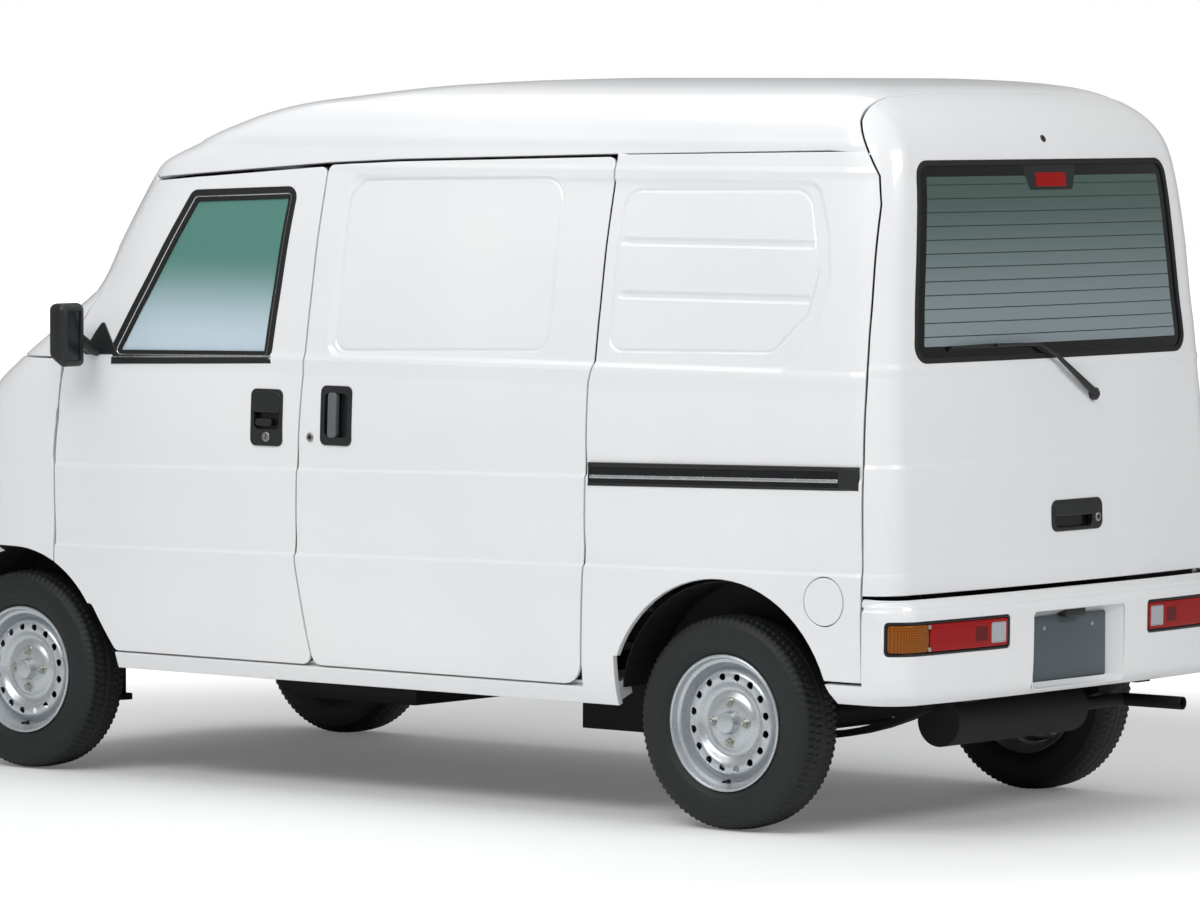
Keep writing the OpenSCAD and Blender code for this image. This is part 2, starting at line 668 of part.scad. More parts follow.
leaf_w = 50;
leaf_y = rail_y + rail_w - leaf_w;
drum_d = 230;
rear_drum_y = wheel_y - tyre_w / 2 - 10;
stub_d = 52;
module rear_axle() color(dark_steel) {
    translate([rear_axle_x, 0, axle_z]) y_rod(70, -rear_drum_y, rear_drum_y);
    both_sides() {
        // Brake drum and wheel stub
        translate([rear_axle_x, 0, axle_z]) {
            y_rod(drum_d, rear_drum_y, rear_drum_y + 60);
            y_rod(stub_d, rear_drum_y + 60, wheel_y + 30);
        }
        // Leaf spring under the axle, its eyes at the rail
        across(leaf_y, leaf_y + leaf_w) leaf_outline();
        block(rear_axle_x - 45, rear_axle_x + 45, leaf_y, leaf_y + leaf_w, axle_z - 46, axle_z - 28);
    }
}
leaf_reach = 400;
leaf_t = 18;
module leaf_outline() {
    eye_z = rail_top - rail_h - 30;
    low_z = axle_z - 60;
    polygon(concat(
        [for (i = [0 : 12]) let (s = i / 6 - 1) [rear_axle_x + s * leaf_reach, low_z + (eye_z - low_z) * s * s]],
        [for (i = [12 : -1 : 0]) let (s = i / 6 - 1) [rear_axle_x + s * leaf_reach, low_z + leaf_t + (eye_z - low_z) * s * s]]));
    for (s = [-1, 1]) translate([rear_axle_x + s * (leaf_reach - 18), eye_z - 6]) square([36, rail_top - rail_h - eye_z + 6], center = false);
}

engine_l = 520;
engine_front_x = rx(760);
module engine() color("#4a4d50")
    block(engine_front_x - engine_l, engine_front_x, -rail_y + 20, rail_y - 20, 185, rail_top - rail_h + 14);

module fuel_tank() color(dark_steel) as_mesh() {
    // Flat tank between the rails, under the cab floor
    hull() {
        block(fx(1080), fx(600), -rail_y + 30, rail_y - 30, 225, rail_top - 15);
        block(fx(1060), fx(620), -rail_y + 50, rail_y - 50, 205, rail_top - seat_gap);
    }
}

muffler_x = rx(-390);
tail_pipe_y = -half_w + 258;
pipe_z = rail_top - rail_h - 59;     // the tail pipe passes under the springs' rear ends
over_axle_z = axle_z + 57;
module exhaust() color("#3a3a3b") {
    translate([muffler_x, 0, pipe_z]) y_rod(130, -230, 330);
    // Pipe from the engine to the silencer, over the axle
    translate([0, 200, over_axle_z]) x_rod(30, muffler_x + 30, engine_front_x - engine_l - seat_gap);
    // Tail pipe
    translate([muffler_x, 0, pipe_z]) y_rod(34, tail_pipe_y, -230);
    translate([muffler_x, tail_pipe_y, pipe_z]) sphere(d = 34);
    difference() {
        translate([0, tail_pipe_y, pipe_z]) x_rod(34, tail_x + 12, muffler_x);
        translate([0, tail_pipe_y, pipe_z]) x_rod(29, tail_x, tail_x + 70);
    }
}

// ---- Cab -----------------------------------------------------------------------

dash_x = fx(110);
driver_y = -(half_w - 410);
module dashboard() color(grey_plastic) {
    difference() {
        across(-half_w + 90, half_w - 90) polygon([[dash_x - 60, 870], [dash_x - 78, 935], [dash_x - 60, 1000],
            [dash_x - 20, 1052], [dash_x + 80, 1075], [dash_x + 140, 1072], [dash_x + 140, 760], [dash_x + 60, 760]]);
        // Open glove tray on the passenger side
        block(dash_x - 100, dash_x + 60, 120, half_w - 160, 905, 960);
    }
    // Instrument hood in front of the driver
    across(driver_y - 150, driver_y + 150) polygon([[dash_x - 60, 1000], [dash_x - 84, 1100], [dash_x + 40, 1105],
        [dash_x + 80, 1075], [dash_x - 20, 1052]]);
    // Legs to the bulkhead
    both_sides() block(dash_x + 100, bulkhead_x - seat_gap, 180, 230, 800, 860);
    steering_column();
}
wheel_tilt = 42;
steering_centre = [fx(330), driver_y, 1010];
module steering_frame() translate(steering_centre) rotate([0, -wheel_tilt, 0]) children();
module steering_column() steering_frame() {
    translate([0, 0, -72]) cylinder(d = 74, h = 40);
    translate([0, 0, -260]) cylinder(d = 58, h = 190);
    translate([0, 0, -34]) cylinder(d = 22, h = 14);
}
rim_tube = 28;
module steering_wheel() color(black_trim) steering_frame() {
    rotate_extrude() translate([steering_wheel_d / 2 - rim_tube / 2, 0]) circle(d = rim_tube, $fn = 24);
    difference() {
        translate([0, 0, -24]) cylinder(d = 120, h = 30);
        translate([0, 0, -30]) cylinder(d = 23, h = 20);
    }
    for (a = [90, 210, 330]) rotate([0, 0, a])
        translate([50, -18, -10]) cube([steering_wheel_d / 2 - rim_tube / 2 - 50, 36, 14]);
}

seat_w = 470;
seat_x = fx(925);
seat_y = half_w - 395;
seat_base_z = 640;
headrest_z = 1250;
module seat_frames() color(black_trim) both_sides() translate([0, seat_y, 0]) {
    block(seat_x, seat_x + 420, -seat_w / 2 + 20, seat_w / 2 - 20, cab_floor_z, seat_base_z);
    // Back plate with headrest rods
    block(seat_x - 16, seat_x, -seat_w / 2 + 40, seat_w / 2 - 40, 560, 1180);
    for (y = [-50, 50]) translate([seat_x - 8, y, 1180]) cylinder(d = 12, h = headrest_z - 1180);
}
soft_gap = 0.4;
module seats() color("#53575b") both_sides() translate([0, seat_y, 0]) {
    // Cushion
    translate([seat_x + 90, -seat_w / 2, seat_base_z + soft_gap]) cube([400, seat_w, 110]);
    // Back
    translate([seat_x + soft_gap, -seat_w / 2, seat_base_z + 30]) cube([88, seat_w, 560]);
    // Headrest
    translate([seat_x - 50, -130, headrest_z + soft_gap]) cube([88, 260, 170]);
}

module front_wipers() color(black_trim) as_mesh() difference() {
    for (y = [-half_w + 240, 40]) {
        // Arm and blade resting low on the glass
        hull() {
            translate([front_at(up(1150)) - 10, y, up(1150) + 14]) sphere(d = 14, $fn = 10);
            translate([front_at(up(1205)) - 6, y + 330, up(1205) + 16]) sphere(d = 8, $fn = 8);
        }
        translate([front_at(up(1150)) - 18, y, up(1150) - 20]) cylinder(d = 26, h = 34, $fn = 20);
    }
    body_form(-seat_gap);
}

mirror_x = fx(232);
mirror_z = 1190;
module door_mirror() difference() {
    mirror_form();
    body_form(-seat_gap);
}
module mirror_form() {
    // Stalk from the door to the housing
    hull() {
        translate([mirror_x + 8, half_w - 22, mirror_z - 40]) sphere(d = 30, $fn = 16);
        translate([mirror_x + 8, half_w + 30, mirror_z - 10]) sphere(d = 30, $fn = 16);
    }
    // Housing
    hull() for (y = [half_w + 40, half_w + 130]) for (z = [mirror_z - 68, mirror_z + 68])
        translate([mirror_x + 4, y, z]) scale([0.8, 1, 1]) sphere(d = 44, $fn = 16);
    // Foot against the door skin
    intersection() {
        body_shell(-14, 0);
        translate([mirror_x, 0, mirror_z - 40]) y_rod(70, 0, half_w + 20);
    }
}
module mirror_left() color(black_trim) as_mesh() door_mirror();
module mirror_right() color(black_trim) as_mesh() mirror([0, 1, 0]) door_mirror();

wiper_y = -62;
wiper_z = 1079;
module rear_wiper() color(black_trim) as_mesh() {
    x = rear_at(wiper_z);
    // Spindle cap
    translate([x, wiper_y, wiper_z]) x_rod(30, -22, -1);
    // Arm up to the glass, then the blade along its lower edge
    hull() {
        translate([x - 20, wiper_y, wiper_z]) sphere(d = 16, $fn = 12);
        translate([x - 12, 170, back_window_low + 38]) sphere(d = 9, $fn = 8);
    }
    hull() {
        translate([x - 8, 130, back_window_low + 34]) sphere(d = 10, $fn = 8);
        translate([x + 4, 440, back_window_low + 30]) sphere(d = 10, $fn = 8);
    }
}

fuel_lid_t = 5;
module fuel_lid() color(white_paint) as_mesh() intersection() {
    body_shell(0.5, 0.5 + fuel_lid_t);
    translate([fuel_door[0], 0, fuel_door[1]]) y_rod(fuel_door_d - 2 * half_gap + 2, 0, half_w + cut);
}

// ---- Wheels ----------------------------------------------------------------------

hub_clear = 0.5;
stub_front_y = wheel_y + 30;
module knuckle() {
    // Upright around the steering axis
    translate([front_axle_x - 28, kingpin_y - 24, axle_z - 70]) cube([56, 48, 140]);
    // Ball pin into the lower arm
    translate([front_axle_x, kingpin_y, arm_z - 10]) cylinder(d = 20, h = axle_z - 52 - arm_z + 10);
    // Brake disc and wheel stub
    translate([front_axle_x, 0, axle_z]) {
        y_rod(210, kingpin_y + 24, kingpin_y + 34);
        y_rod(stub_d, kingpin_y + 34, stub_front_y);
    }
    // Steering arm
    translate([front_axle_x - 110, kingpin_y - 20, axle_z - 40]) cube([90, 22, 18]);
}
module knuckle_left() color(dark_steel) knuckle();
module knuckle_right() color(dark_steel) mirror([0, 1, 0]) knuckle();

bead_gap = 0.4;
shoulder_r = 22;
module tyre(x, side) color("#1a1b1c") translate([x, side * wheel_y, axle_z]) rotate([90, 0, 0]) rotate_extrude()
    tyre_section();
module tyre_section() difference() {
    hull() {
        for (s = [-1, 1]) {
            translate([tyre_d / 2 - shoulder_r, s * (tyre_w / 2 - shoulder_r - 8)]) circle(shoulder_r, $fn = 24);
            translate([(tyre_d + rim_d) / 4 - 4, s * (tyre_w / 2 - 30)]) circle(30, $fn = 24);
            translate([rim_d / 2 - 2, s * (tyre_w / 2 - 28)]) circle(8, $fn = 16);
        }
    }
    // Seat on the rim barrel and beside its flanges
    square([2 * (rim_d / 2 - 10 + bead_gap), 2 * tyre_w], center = true);
    for (s = [-1, 1]) translate([0, s * (rim_half_w - bead_gap + tyre_w)])
        square([2 * (rim_d / 2 + bead_gap), 2 * tyre_w], center = true);
    // Air space
    translate([0, -tyre_w / 2 + 26]) square([tyre_d / 2 - 14, tyre_w - 52]);
}
disc_offset = 18;         // wheel disc lies this far outboard of the wheel's middle
rim_half_w = tyre_w / 2 - 21;
module rim(x, side) color(wheel_silver) translate([x, side * wheel_y, axle_z]) rotate([90, 0, 0])
    mirror([0, 0, side > 0 ? 1 : 0]) {
        difference() {
            rotate_extrude() rim_section();
            translate([0, 0, -100]) cylinder(d = stub_d + 2 * hub_clear, h = 200);
            for (i = [0 : 3]) rotate([0, 0, 45 + 90 * i]) translate([bolt_circle / 2, 0, -100]) cylinder(d = 13, h = 200);
        }
    }
bolt_circle = 100;
module rim_section() {
    r = rim_d / 2;
    // Barrel with its two flanges, then the disc
    polygon([[r, -rim_half_w - 5], [r, -rim_half_w], [r - 10, -rim_half_w], [r - 10, -rim_half_w + 22],
        [r - 32, -rim_half_w + 34], [r - 32, rim_half_w - 34], [r - 10, rim_half_w - 22], [r - 10, rim_half_w],
        [r, rim_half_w], [r, rim_half_w + 5], [r - 13, rim_half_w + 5], [r - 13, rim_half_w - 20],
        [r - 35, rim_half_w - 32], [r - 35, disc_offset + 6], [r - 70, disc_offset + 10], [66, disc_offset - 6],
        [0, disc_offset - 6], [0, disc_offset - 12], [64, disc_offset - 12], [r - 70, disc_offset + 4],
        [r - 35, disc_offset], [r - 35, -rim_half_w + 32], [r - 13, -rim_half_w + 20], [r - 13, -rim_half_w - 5]]);
}
module tyre_front_left() tyre(front_axle_x, 1);
module tyre_front_right() tyre(front_axle_x, -1);
module tyre_rear_left() tyre(rear_axle_x, 1);
module tyre_rear_right() tyre(rear_axle_x, -1);
module rim_front_left() rim(front_axle_x, 1);
module rim_front_right() rim(front_axle_x, -1);
module rim_rear_left() rim(rear_axle_x, 1);
module rim_rear_right() rim(rear_axle_x, -1);

floor_pan();
chassis_frame();
front_suspension();
rear_axle();
engine();
fuel_tank();
exhaust();
cab_frame();
windscreen();
front_fenders();
front_panel();
front_lid();
headlamps();
front_bumper();
rear_bumper();
plate_carrier();
tail_lamps();
side_panel_left();
side_panel_right();
roof();
sliding_door_left();
sliding_door_right();
sliding_rails();
dashboard();
steering_wheel();
seat_frames();
seats();
front_wipers();
front_door_left();
front_door_right();
door_glass_left();
door_glass_right();
mirror_left();
mirror_right();
back_door();
back_window();
rear_wiper();
fuel_lid();
knuckle_left();
knuckle_right();
tyre_front_left();
tyre_front_right();
tyre_rear_left();
tyre_rear_right();
rim_front_left();
rim_front_right();
rim_rear_left();
rim_rear_right();
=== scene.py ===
# %% [markdown]
# # A kei panel van, panel by panel
# The imported model gives a fixed frame: every node already sits at its place.
# This script loads that frame and then builds the panels, lamps, wheels, seats
# and finishes that a plain solid can't show. The first cell also gives a
# function that reads the box of an imported node.

# %% Load the frame
import math

import bmesh
import bpy
import numpy as np
from mathutils import Matrix, Vector


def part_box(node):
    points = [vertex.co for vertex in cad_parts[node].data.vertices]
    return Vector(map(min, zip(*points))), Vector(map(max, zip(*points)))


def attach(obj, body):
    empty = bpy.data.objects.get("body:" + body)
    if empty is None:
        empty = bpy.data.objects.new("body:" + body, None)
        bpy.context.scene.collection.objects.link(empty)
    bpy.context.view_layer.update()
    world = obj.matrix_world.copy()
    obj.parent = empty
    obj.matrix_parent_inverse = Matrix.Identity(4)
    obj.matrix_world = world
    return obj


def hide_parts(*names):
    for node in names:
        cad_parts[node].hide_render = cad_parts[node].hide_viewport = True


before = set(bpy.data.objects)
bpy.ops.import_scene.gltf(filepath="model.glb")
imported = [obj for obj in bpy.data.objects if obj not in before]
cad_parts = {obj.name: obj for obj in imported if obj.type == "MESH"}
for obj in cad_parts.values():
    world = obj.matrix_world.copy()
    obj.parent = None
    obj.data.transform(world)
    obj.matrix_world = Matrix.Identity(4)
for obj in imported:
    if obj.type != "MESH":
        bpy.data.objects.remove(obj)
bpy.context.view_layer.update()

# %% [markdown]
# ## Sizes
# All lengths are millimetres, as on a drawing, and are turned to metres when a
# mesh is finished. The places of the axles, the nose and the tail are read from
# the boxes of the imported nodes, so that the panels follow the model.

# %% Main places, in millimetres
MM = 0.001


def corners(node):
    low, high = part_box(node)
    return [v * 1000 for v in low], [v * 1000 for v in high]


def middle(node):
    low, high = corners(node)
    return [(a + b) / 2 for a, b in zip(low, high)]


NOSE = corners("front_bumper")[1][0]
TAIL = corners("rear_bumper")[0][0]
HALF = corners("sliding_door_left")[1][1]
ROOF = corners("roof")[1][2]
FRONT_AXLE = middle("tyre_front_left")[0]
REAR_AXLE = middle("tyre_rear_left")[0]
AXLE_Z = middle("tyre_rear_left")[2]
WHEEL_Y = middle("tyre_rear_left")[1]
print("nose", round(NOSE), "tail", round(TAIL), "half width", round(HALF, 1), "roof", round(ROOF))

# %% [markdown]
# ## Helpers for meshes
# Each piece is modelled as a bmesh and turned into an object whose origin stays
# at the origin of the frame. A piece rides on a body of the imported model, so a
# door's parts swing with the door.

# %% From a bmesh to a piece
SMOOTH_ANGLE = 35


def finish(bm, name, mats, body, replaces=(), smooth=SMOOTH_ANGLE, weighted=False, bevel=0.0,
           subdiv=0):
    mesh = bpy.data.meshes.new(name)
    bm.to_mesh(mesh)
    bm.free()
    piece = bpy.data.objects.new(name, mesh)
    bpy.context.scene.collection.objects.link(piece)
    for mat in mats if isinstance(mats, (list, tuple)) else [mats]:
        mesh.materials.append(mat)
    mesh.polygons.foreach_set("use_smooth", [smooth > 0] * len(mesh.polygons))
    if 0 < smooth < 180:
        mesh.set_sharp_from_angle(angle=math.radians(smooth))
    if bevel:
        mod = piece.modifiers.new("Edges", "BEVEL")
        mod.width = bevel * MM
        mod.segments = 3
        mod.limit_method = "ANGLE"
        mod.angle_limit = math.radians(40)
        mod.harden_normals = False
    if subdiv:
        mod = piece.modifiers.new("Round", "SUBSURF")
        mod.levels = subdiv
        mod.render_levels = subdiv
    if weighted or bevel:
        mod = piece.modifiers.new("Shading", "WEIGHTED_NORMAL")
        mod.keep_sharp = True
        mod.weight = 80
    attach(piece, body)
    if replaces:
        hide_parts(*replaces)
    return piece


def count(*pieces):
    return sum(sum(len(p.vertices) - 2 for p in o.data.polygons) for o in pieces)


# %% [markdown]
# ## Materials
# Each finish is a small node tree. One function adds a node with its settings
# and links, and one turns a hex colour from sRGB to linear. Pattern scales are
# worked out from a size in millimetres.

# %% Node and colour helpers
def rgb(hex_text, alpha=1.0):
    parts = [int(hex_text[i:i + 2], 16) / 255 for i in (1, 3, 5)]
    linear = [c / 12.92 if c <= 0.04045 else ((c + 0.055) / 1.055) ** 2.4 for c in parts]
    return (*linear, alpha)


def socket(sockets, key):
    """The socket in use with that name, or at that index."""
    if isinstance(key, int):
        return sockets[key]
    return next(s for s in sockets if s.name == key and s.enabled)


def add(tree, kind, settings=None, links=None):
    """Adds a node. settings: attribute or input name to value. links: input name to a node's output."""
    node = tree.nodes.new(kind)
    for key, value in (settings or {}).items():
        if isinstance(key, str) and hasattr(node, key):
            setattr(node, key, value)
        else:
            socket(node.inputs, key).default_value = value
    for key, source in (links or {}).items():
        tree.links.new(source, socket(node.inputs, key))
    return node


# A wave texture of scale 1 repeats every 0.314 units
WAVE_TURN = 0.314


def blend_colours(tree, shader, factor, hex_a, hex_b):
    """Gives a shader a base colour that mixes two colours by a factor."""
    node = add(tree, "ShaderNodeMix", {"data_type": "RGBA", "A": rgb(hex_a), "B": rgb(hex_b)},
               {"Factor": factor})
    tree.links.new(socket(node.outputs, "Result"), shader.inputs["Base Color"])


def finish_material(name, settings):
    """A material with one Principled shader, whose plain values sit on its own sockets."""
    mat = bpy.data.materials.new(name)
    mat.use_nodes = True
    shader = mat.node_tree.nodes["Principled BSDF"]
    for key, value in settings.items():
        shader.inputs[key].default_value = value
    where = add(mat.node_tree, "ShaderNodeTexCoord")
    return mat, mat.node_tree, shader, where.outputs["Object"]


def bump(tree, shader, height, distance_mm, strength=1.0):
    node = add(tree, "ShaderNodeBump", {"Strength": strength, "Distance": distance_mm * MM},
               {"Height": height})
    tree.links.new(node.outputs["Normal"], shader.inputs["Normal"])
    return node


def per_mm(size_mm):
    """Texture scale that makes one cell of a pattern about size_mm wide."""
    return 1 / (size_mm * MM)


# %% [markdown]
# ### Body enamel
# The van wears solid white baked enamel over pressed steel: a plain pigment
# coat under a clear, glossy coat. Sprayed enamel never dries quite flat, so a
# faint orange peel about 8 mm wide softens the reflections, and large soft
# clouds of tone keep the big panels from looking like paper.

# %% White body enamel
enamel, tree, shader, at = finish_material("white_baked_enamel", {
    "Base Color": rgb("#eef0f2"), "Roughness": 0.34, "IOR": 1.5,
    "Coat Weight": 0.75, "Coat Roughness": 0.06, "Coat IOR": 1.5})
cloud = add(tree, "ShaderNodeTexNoise", {"Scale": per_mm(700), "Detail": 2.0}, {"Vector": at})
tone = add(tree, "ShaderNodeMapRange", {"From Min": 0.3, "From Max": 0.7, "To Min": 0.0, "To Max": 1.0},
           {"Value": cloud.outputs["Fac"]})
blend_colours(tree, shader, tone.outputs["Result"], "#eceef1", "#f3f4f5")
peel = add(tree, "ShaderNodeTexNoise", {"Scale": per_mm(8), "Detail": 1.0}, {"Vector": at})
bump(tree, shader, peel.outputs["Fac"], 0.02, 0.25)
print("enamel ready")

# %% [markdown]
# ### Black mouldings, seals and underbody
# Handles, mirrors and trim are injection-moulded polypropylene with a fine
# leather grain, about 1 mm wide. Seals are extruded rubber, duller and even.
# The underbody and the wheel houses carry a rough black chip-resistant coat
# with grains of 3 mm.


# %% Dark finishes
def dark_finish(name, hex_low, hex_high, rough, grain_mm, grain_depth, metallic=0.0):
    mat, tree, shader, at = finish_material(name, {"Roughness": rough, "IOR": 1.5, "Metallic": metallic})
    patch = add(tree, "ShaderNodeTexNoise", {"Scale": per_mm(60), "Detail": 4.0}, {"Vector": at})
    blend_colours(tree, shader, patch.outputs["Fac"], hex_low, hex_high)
    worn = add(tree, "ShaderNodeMapRange", {"To Min": max(rough - 0.08, 0.05),
                                            "To Max": min(rough + 0.1, 1.0)},
               {"Value": patch.outputs["Fac"]})
    tree.links.new(worn.outputs["Result"], shader.inputs["Roughness"])
    grain = add(tree, "ShaderNodeTexVoronoi", {"Scale": per_mm(grain_mm)}, {"Vector": at})
    bump(tree, shader, grain.outputs["Distance"], grain_depth, 0.5)
    return mat


black_grain = dark_finish("grained_black_polypropylene", "#17191a", "#222527", 0.42, 1.2, 0.1)
black_gloss = dark_finish("smooth_black_moulding", "#0e0f10", "#15171a", 0.22, 4.0, 0.01)
seal_rubber = dark_finish("extruded_rubber_seal", "#0c0d0d", "#151616", 0.7, 2.5, 0.05)
underbody = dark_finish("black_chip_coat", "#08090a", "#121314", 0.72, 3.0, 0.5)
tyre_rubber = dark_finish("tyre_rubber", "#131516", "#1e2122", 0.62, 2.0, 0.06)
cast_iron = dark_finish("cast_iron_as_cast", "#1d1d1e", "#2b2a2a", 0.68, 2.0, 0.3, 0.6)
interior_grey = dark_finish("moulded_grey_interior", "#5a5e61", "#666a6d", 0.6, 1.5, 0.1)
plate_grey = dark_finish("satin_grey_blank_plate", "#4b5459", "#566067", 0.45, 5.0, 0.01)
print("dark finishes ready")

# %% [markdown]
# ### Wheel enamel, zinc and bright trim
# The pressed steel wheels are sprayed with silver enamel: a metallic pigment
# that sparkles a little and is rougher than bare metal. Nuts and screws are
# zinc plated, a little duller and warmer. The strips at the windows and the
# rail are anodised, and the headlamp bowls have a mirror coat.


# %% Metal finishes
def metal_finish(name, hex_a, hex_b, rough, metallic, speck_mm):
    mat, tree, shader, at = finish_material(name, {"Roughness": rough, "Metallic": metallic})
    speck = add(tree, "ShaderNodeTexNoise", {"Scale": per_mm(speck_mm), "Detail": 3.0}, {"Vector": at})
    blend_colours(tree, shader, speck.outputs["Fac"], hex_a, hex_b)
    spread = add(tree, "ShaderNodeMapRange", {"To Min": rough - 0.07, "To Max": rough + 0.07},
                 {"Value": speck.outputs["Fac"]})
    tree.links.new(spread.outputs["Result"], shader.inputs["Roughness"])
    bump(tree, shader, speck.outputs["Fac"], 0.05, 0.2)
    return mat


wheel_enamel = metal_finish("silver_wheel_enamel", "#aeb4b9", "#dde1e4", 0.33, 0.72, 6)
zinc = metal_finish("zinc_plated_steel", "#9a9c94", "#d2d3cb", 0.3, 1.0, 2)
bright_trim = metal_finish("bright_anodised_trim", "#c6c9cc", "#e4e6e8", 0.25, 0.9, 12)
reflector = metal_finish("aluminised_reflector", "#c9ccd0", "#f0f1f2", 0.12, 1.0, 9)
print("metal finishes ready")

# %% [markdown]
# ### Window glass
# The panes are green tinted safety glass. Their colour carries a painted
# reflection: the pale sheen of the bright studio, strongest low down, is painted
# in by height, so the colour runs from the clear green tint at the top to a pale
# blue at the sill. A share of the light passes, so the seats and the far windows show faintly.


# %% Tinted glass
def glass_finish(name, top_hex, painted_sheen_hex, z_low, z_high, alpha_top, alpha_low):
    mat, tree, shader, at = finish_material(name, {"Roughness": 0.03, "IOR": 1.52, "Coat Weight": 0.6,
                                                   "Coat Roughness": 0.02})
    # Painted reflection: by height the colour and cover pale towards the sill, standing in for the studio's
    # sheen on the glass; only the top colour is the tint.
    parts = add(tree, "ShaderNodeSeparateXYZ", {}, {"Vector": at})
    height = add(tree, "ShaderNodeMapRange", {"From Min": z_low * MM, "From Max": z_high * MM,
                                              "interpolation_type": "SMOOTHSTEP"},
                 {"Value": parts.outputs["Z"]})
    blend_colours(tree, shader, height.outputs["Result"], painted_sheen_hex, top_hex)
    cover = add(tree, "ShaderNodeMapRange", {"To Min": alpha_low, "To Max": alpha_top},
                {"Value": height.outputs["Result"]})
    tree.links.new(cover.outputs["Result"], shader.inputs["Alpha"])
    ripple = add(tree, "ShaderNodeTexNoise", {"Scale": per_mm(300), "Detail": 0.0}, {"Vector": at})
    bump(tree, shader, ripple.outputs["Fac"], 0.1, 0.1)
    return mat


side_glass = glass_finish("tinted_side_glass_painted_sheen", "#5d9388", "#cfe2ee", 1180, 1420, 0.86, 0.9)
rear_glass = glass_finish("tinted_rear_glass_painted_sheen", "#4f6a62", "#98a6ac", 1230, 1650, 0.74, 0.78)
screen_glass = glass_finish("tinted_windscreen_painted_sheen", "#5a7f78", "#9fb6bd", 1200, 1600, 0.6, 0.7)
frit_black = dark_finish("black_ceramic_frit", "#0b0c0d", "#101213", 0.12, 6.0, 0.005)
print("glass ready")

# %% [markdown]
# ### Heating wires
# Fine wires are printed across the rear pane, 34 mm apart. They are too thin
# to model, so a wave pattern by height darkens the tint in narrow lines: only
# the crest of each wave passes a threshold.

# %% Wires of the rear pane
WIRE_GAP = 34
WIRE_EDGE = 0.985
tree = rear_glass.node_tree
shader = tree.nodes["Principled BSDF"]
tint_below = shader.inputs["Base Color"].links[0].from_socket
place = add(tree, "ShaderNodeTexCoord")
wires = add(tree, "ShaderNodeTexWave", {"bands_direction": "Z", "Scale": per_mm(WIRE_GAP) * WAVE_TURN},
            {"Vector": place.outputs["Object"]})
thin = add(tree, "ShaderNodeMath", {"operation": "GREATER_THAN", 1: WIRE_EDGE}, {0: wires.outputs["Fac"]})
wired = add(tree, "ShaderNodeMix", {"data_type": "RGBA", "B": rgb("#2f3c3a")},
            {"Factor": thin.outputs["Value"], "A": tint_below})
tree.links.new(socket(wired.outputs, "Result"), shader.inputs["Base Color"])
print("heating wires", WIRE_GAP, "mm apart")


# %% [markdown]
# ### Lamp lenses
# The lenses are moulded acrylic, dyed through: red, amber and clear. Inside
# they carry rows of small prisms, 3 to 12 mm apart, that break up the light,
# so the height pattern is a set of waves rather than a grain.


# %% Lens plastics
def lens_finish(name, hex_dark, hex_light, alpha, wave_mm):
    mat, tree, shader, at = finish_material(name, {"Roughness": 0.12, "IOR": 1.49, "Alpha": alpha,
                                                   "Specular IOR Level": 0.3})
    rows = add(tree, "ShaderNodeTexWave", {"wave_type": "BANDS", "bands_direction": "Z",
                                           "Scale": per_mm(wave_mm) * WAVE_TURN},
               {"Vector": at})
    columns = add(tree, "ShaderNodeTexWave", {"wave_type": "BANDS", "bands_direction": "Y",
                                              "Scale": per_mm(wave_mm) * WAVE_TURN}, {"Vector": at})
    both = add(tree, "ShaderNodeMath", {"operation": "MULTIPLY"},
               {0: rows.outputs["Fac"], 1: columns.outputs["Fac"]})
    blend_colours(tree, shader, both.outputs["Value"], hex_dark, hex_light)
    bump(tree, shader, both.outputs["Value"], 0.35, 0.5)
    return mat


lens_red = lens_finish("red_acrylic_lens", "#8f0508", "#b40a0c", 1.0, 6)
lens_dark_red = lens_finish("dark_red_reflector", "#5a0305", "#740608", 1.0, 3)
lens_amber = lens_finish("amber_acrylic_lens", "#7c4208", "#a8600e", 1.0, 6)
lens_white = lens_finish("clear_reversing_lens", "#a4a8ad", "#c9cdd1", 1.0, 5)
lens_clear = lens_finish("clear_headlamp_lens", "#cfd6da", "#eef2f4", 0.5, 12)
print("lenses ready")


# %% [markdown]
# ### Seat cloth
# The seats wear a woven grey cloth. Threads of 1.2 mm would vanish at this
# size, so the weave is drawn at 4 mm: two crossing wave patterns raise the
# threads, and the cloth has a soft sheen and almost no gloss.

# %% Woven cloth
seat_cloth, tree, shader, at = finish_material("woven_grey_seat_cloth", {
    "Roughness": 0.9, "Sheen Weight": 0.35, "Sheen Roughness": 0.5, "Specular IOR Level": 0.2})
warp = add(tree, "ShaderNodeTexWave", {"bands_direction": "Y", "Scale": per_mm(4) * WAVE_TURN},
           {"Vector": at})
weft = add(tree, "ShaderNodeTexWave", {"bands_direction": "DIAGONAL", "Scale": per_mm(4) * WAVE_TURN},
           {"Vector": at})
weave = add(tree, "ShaderNodeMath", {"operation": "MULTIPLY"},
            {0: warp.outputs["Fac"], 1: weft.outputs["Fac"]})
blend_colours(tree, shader, weave.outputs["Value"], "#43474b", "#696e73")
bump(tree, shader, weave.outputs["Value"], 0.5, 0.6)
print("cloth ready")

# %% [markdown]
# ## The body surface
# A pressed body is one flowing surface that is cut into panels. Here it is a
# stack of plan outlines: a rounded nose, a straight side and a round rear
# corner, whose width and length change with height. A smooth monotone curve
# runs through each column of the table, so highlights flow without facets.
# Panels are cut from a flat sheet and wrapped on this surface, as a stamping
# is drawn over its die.


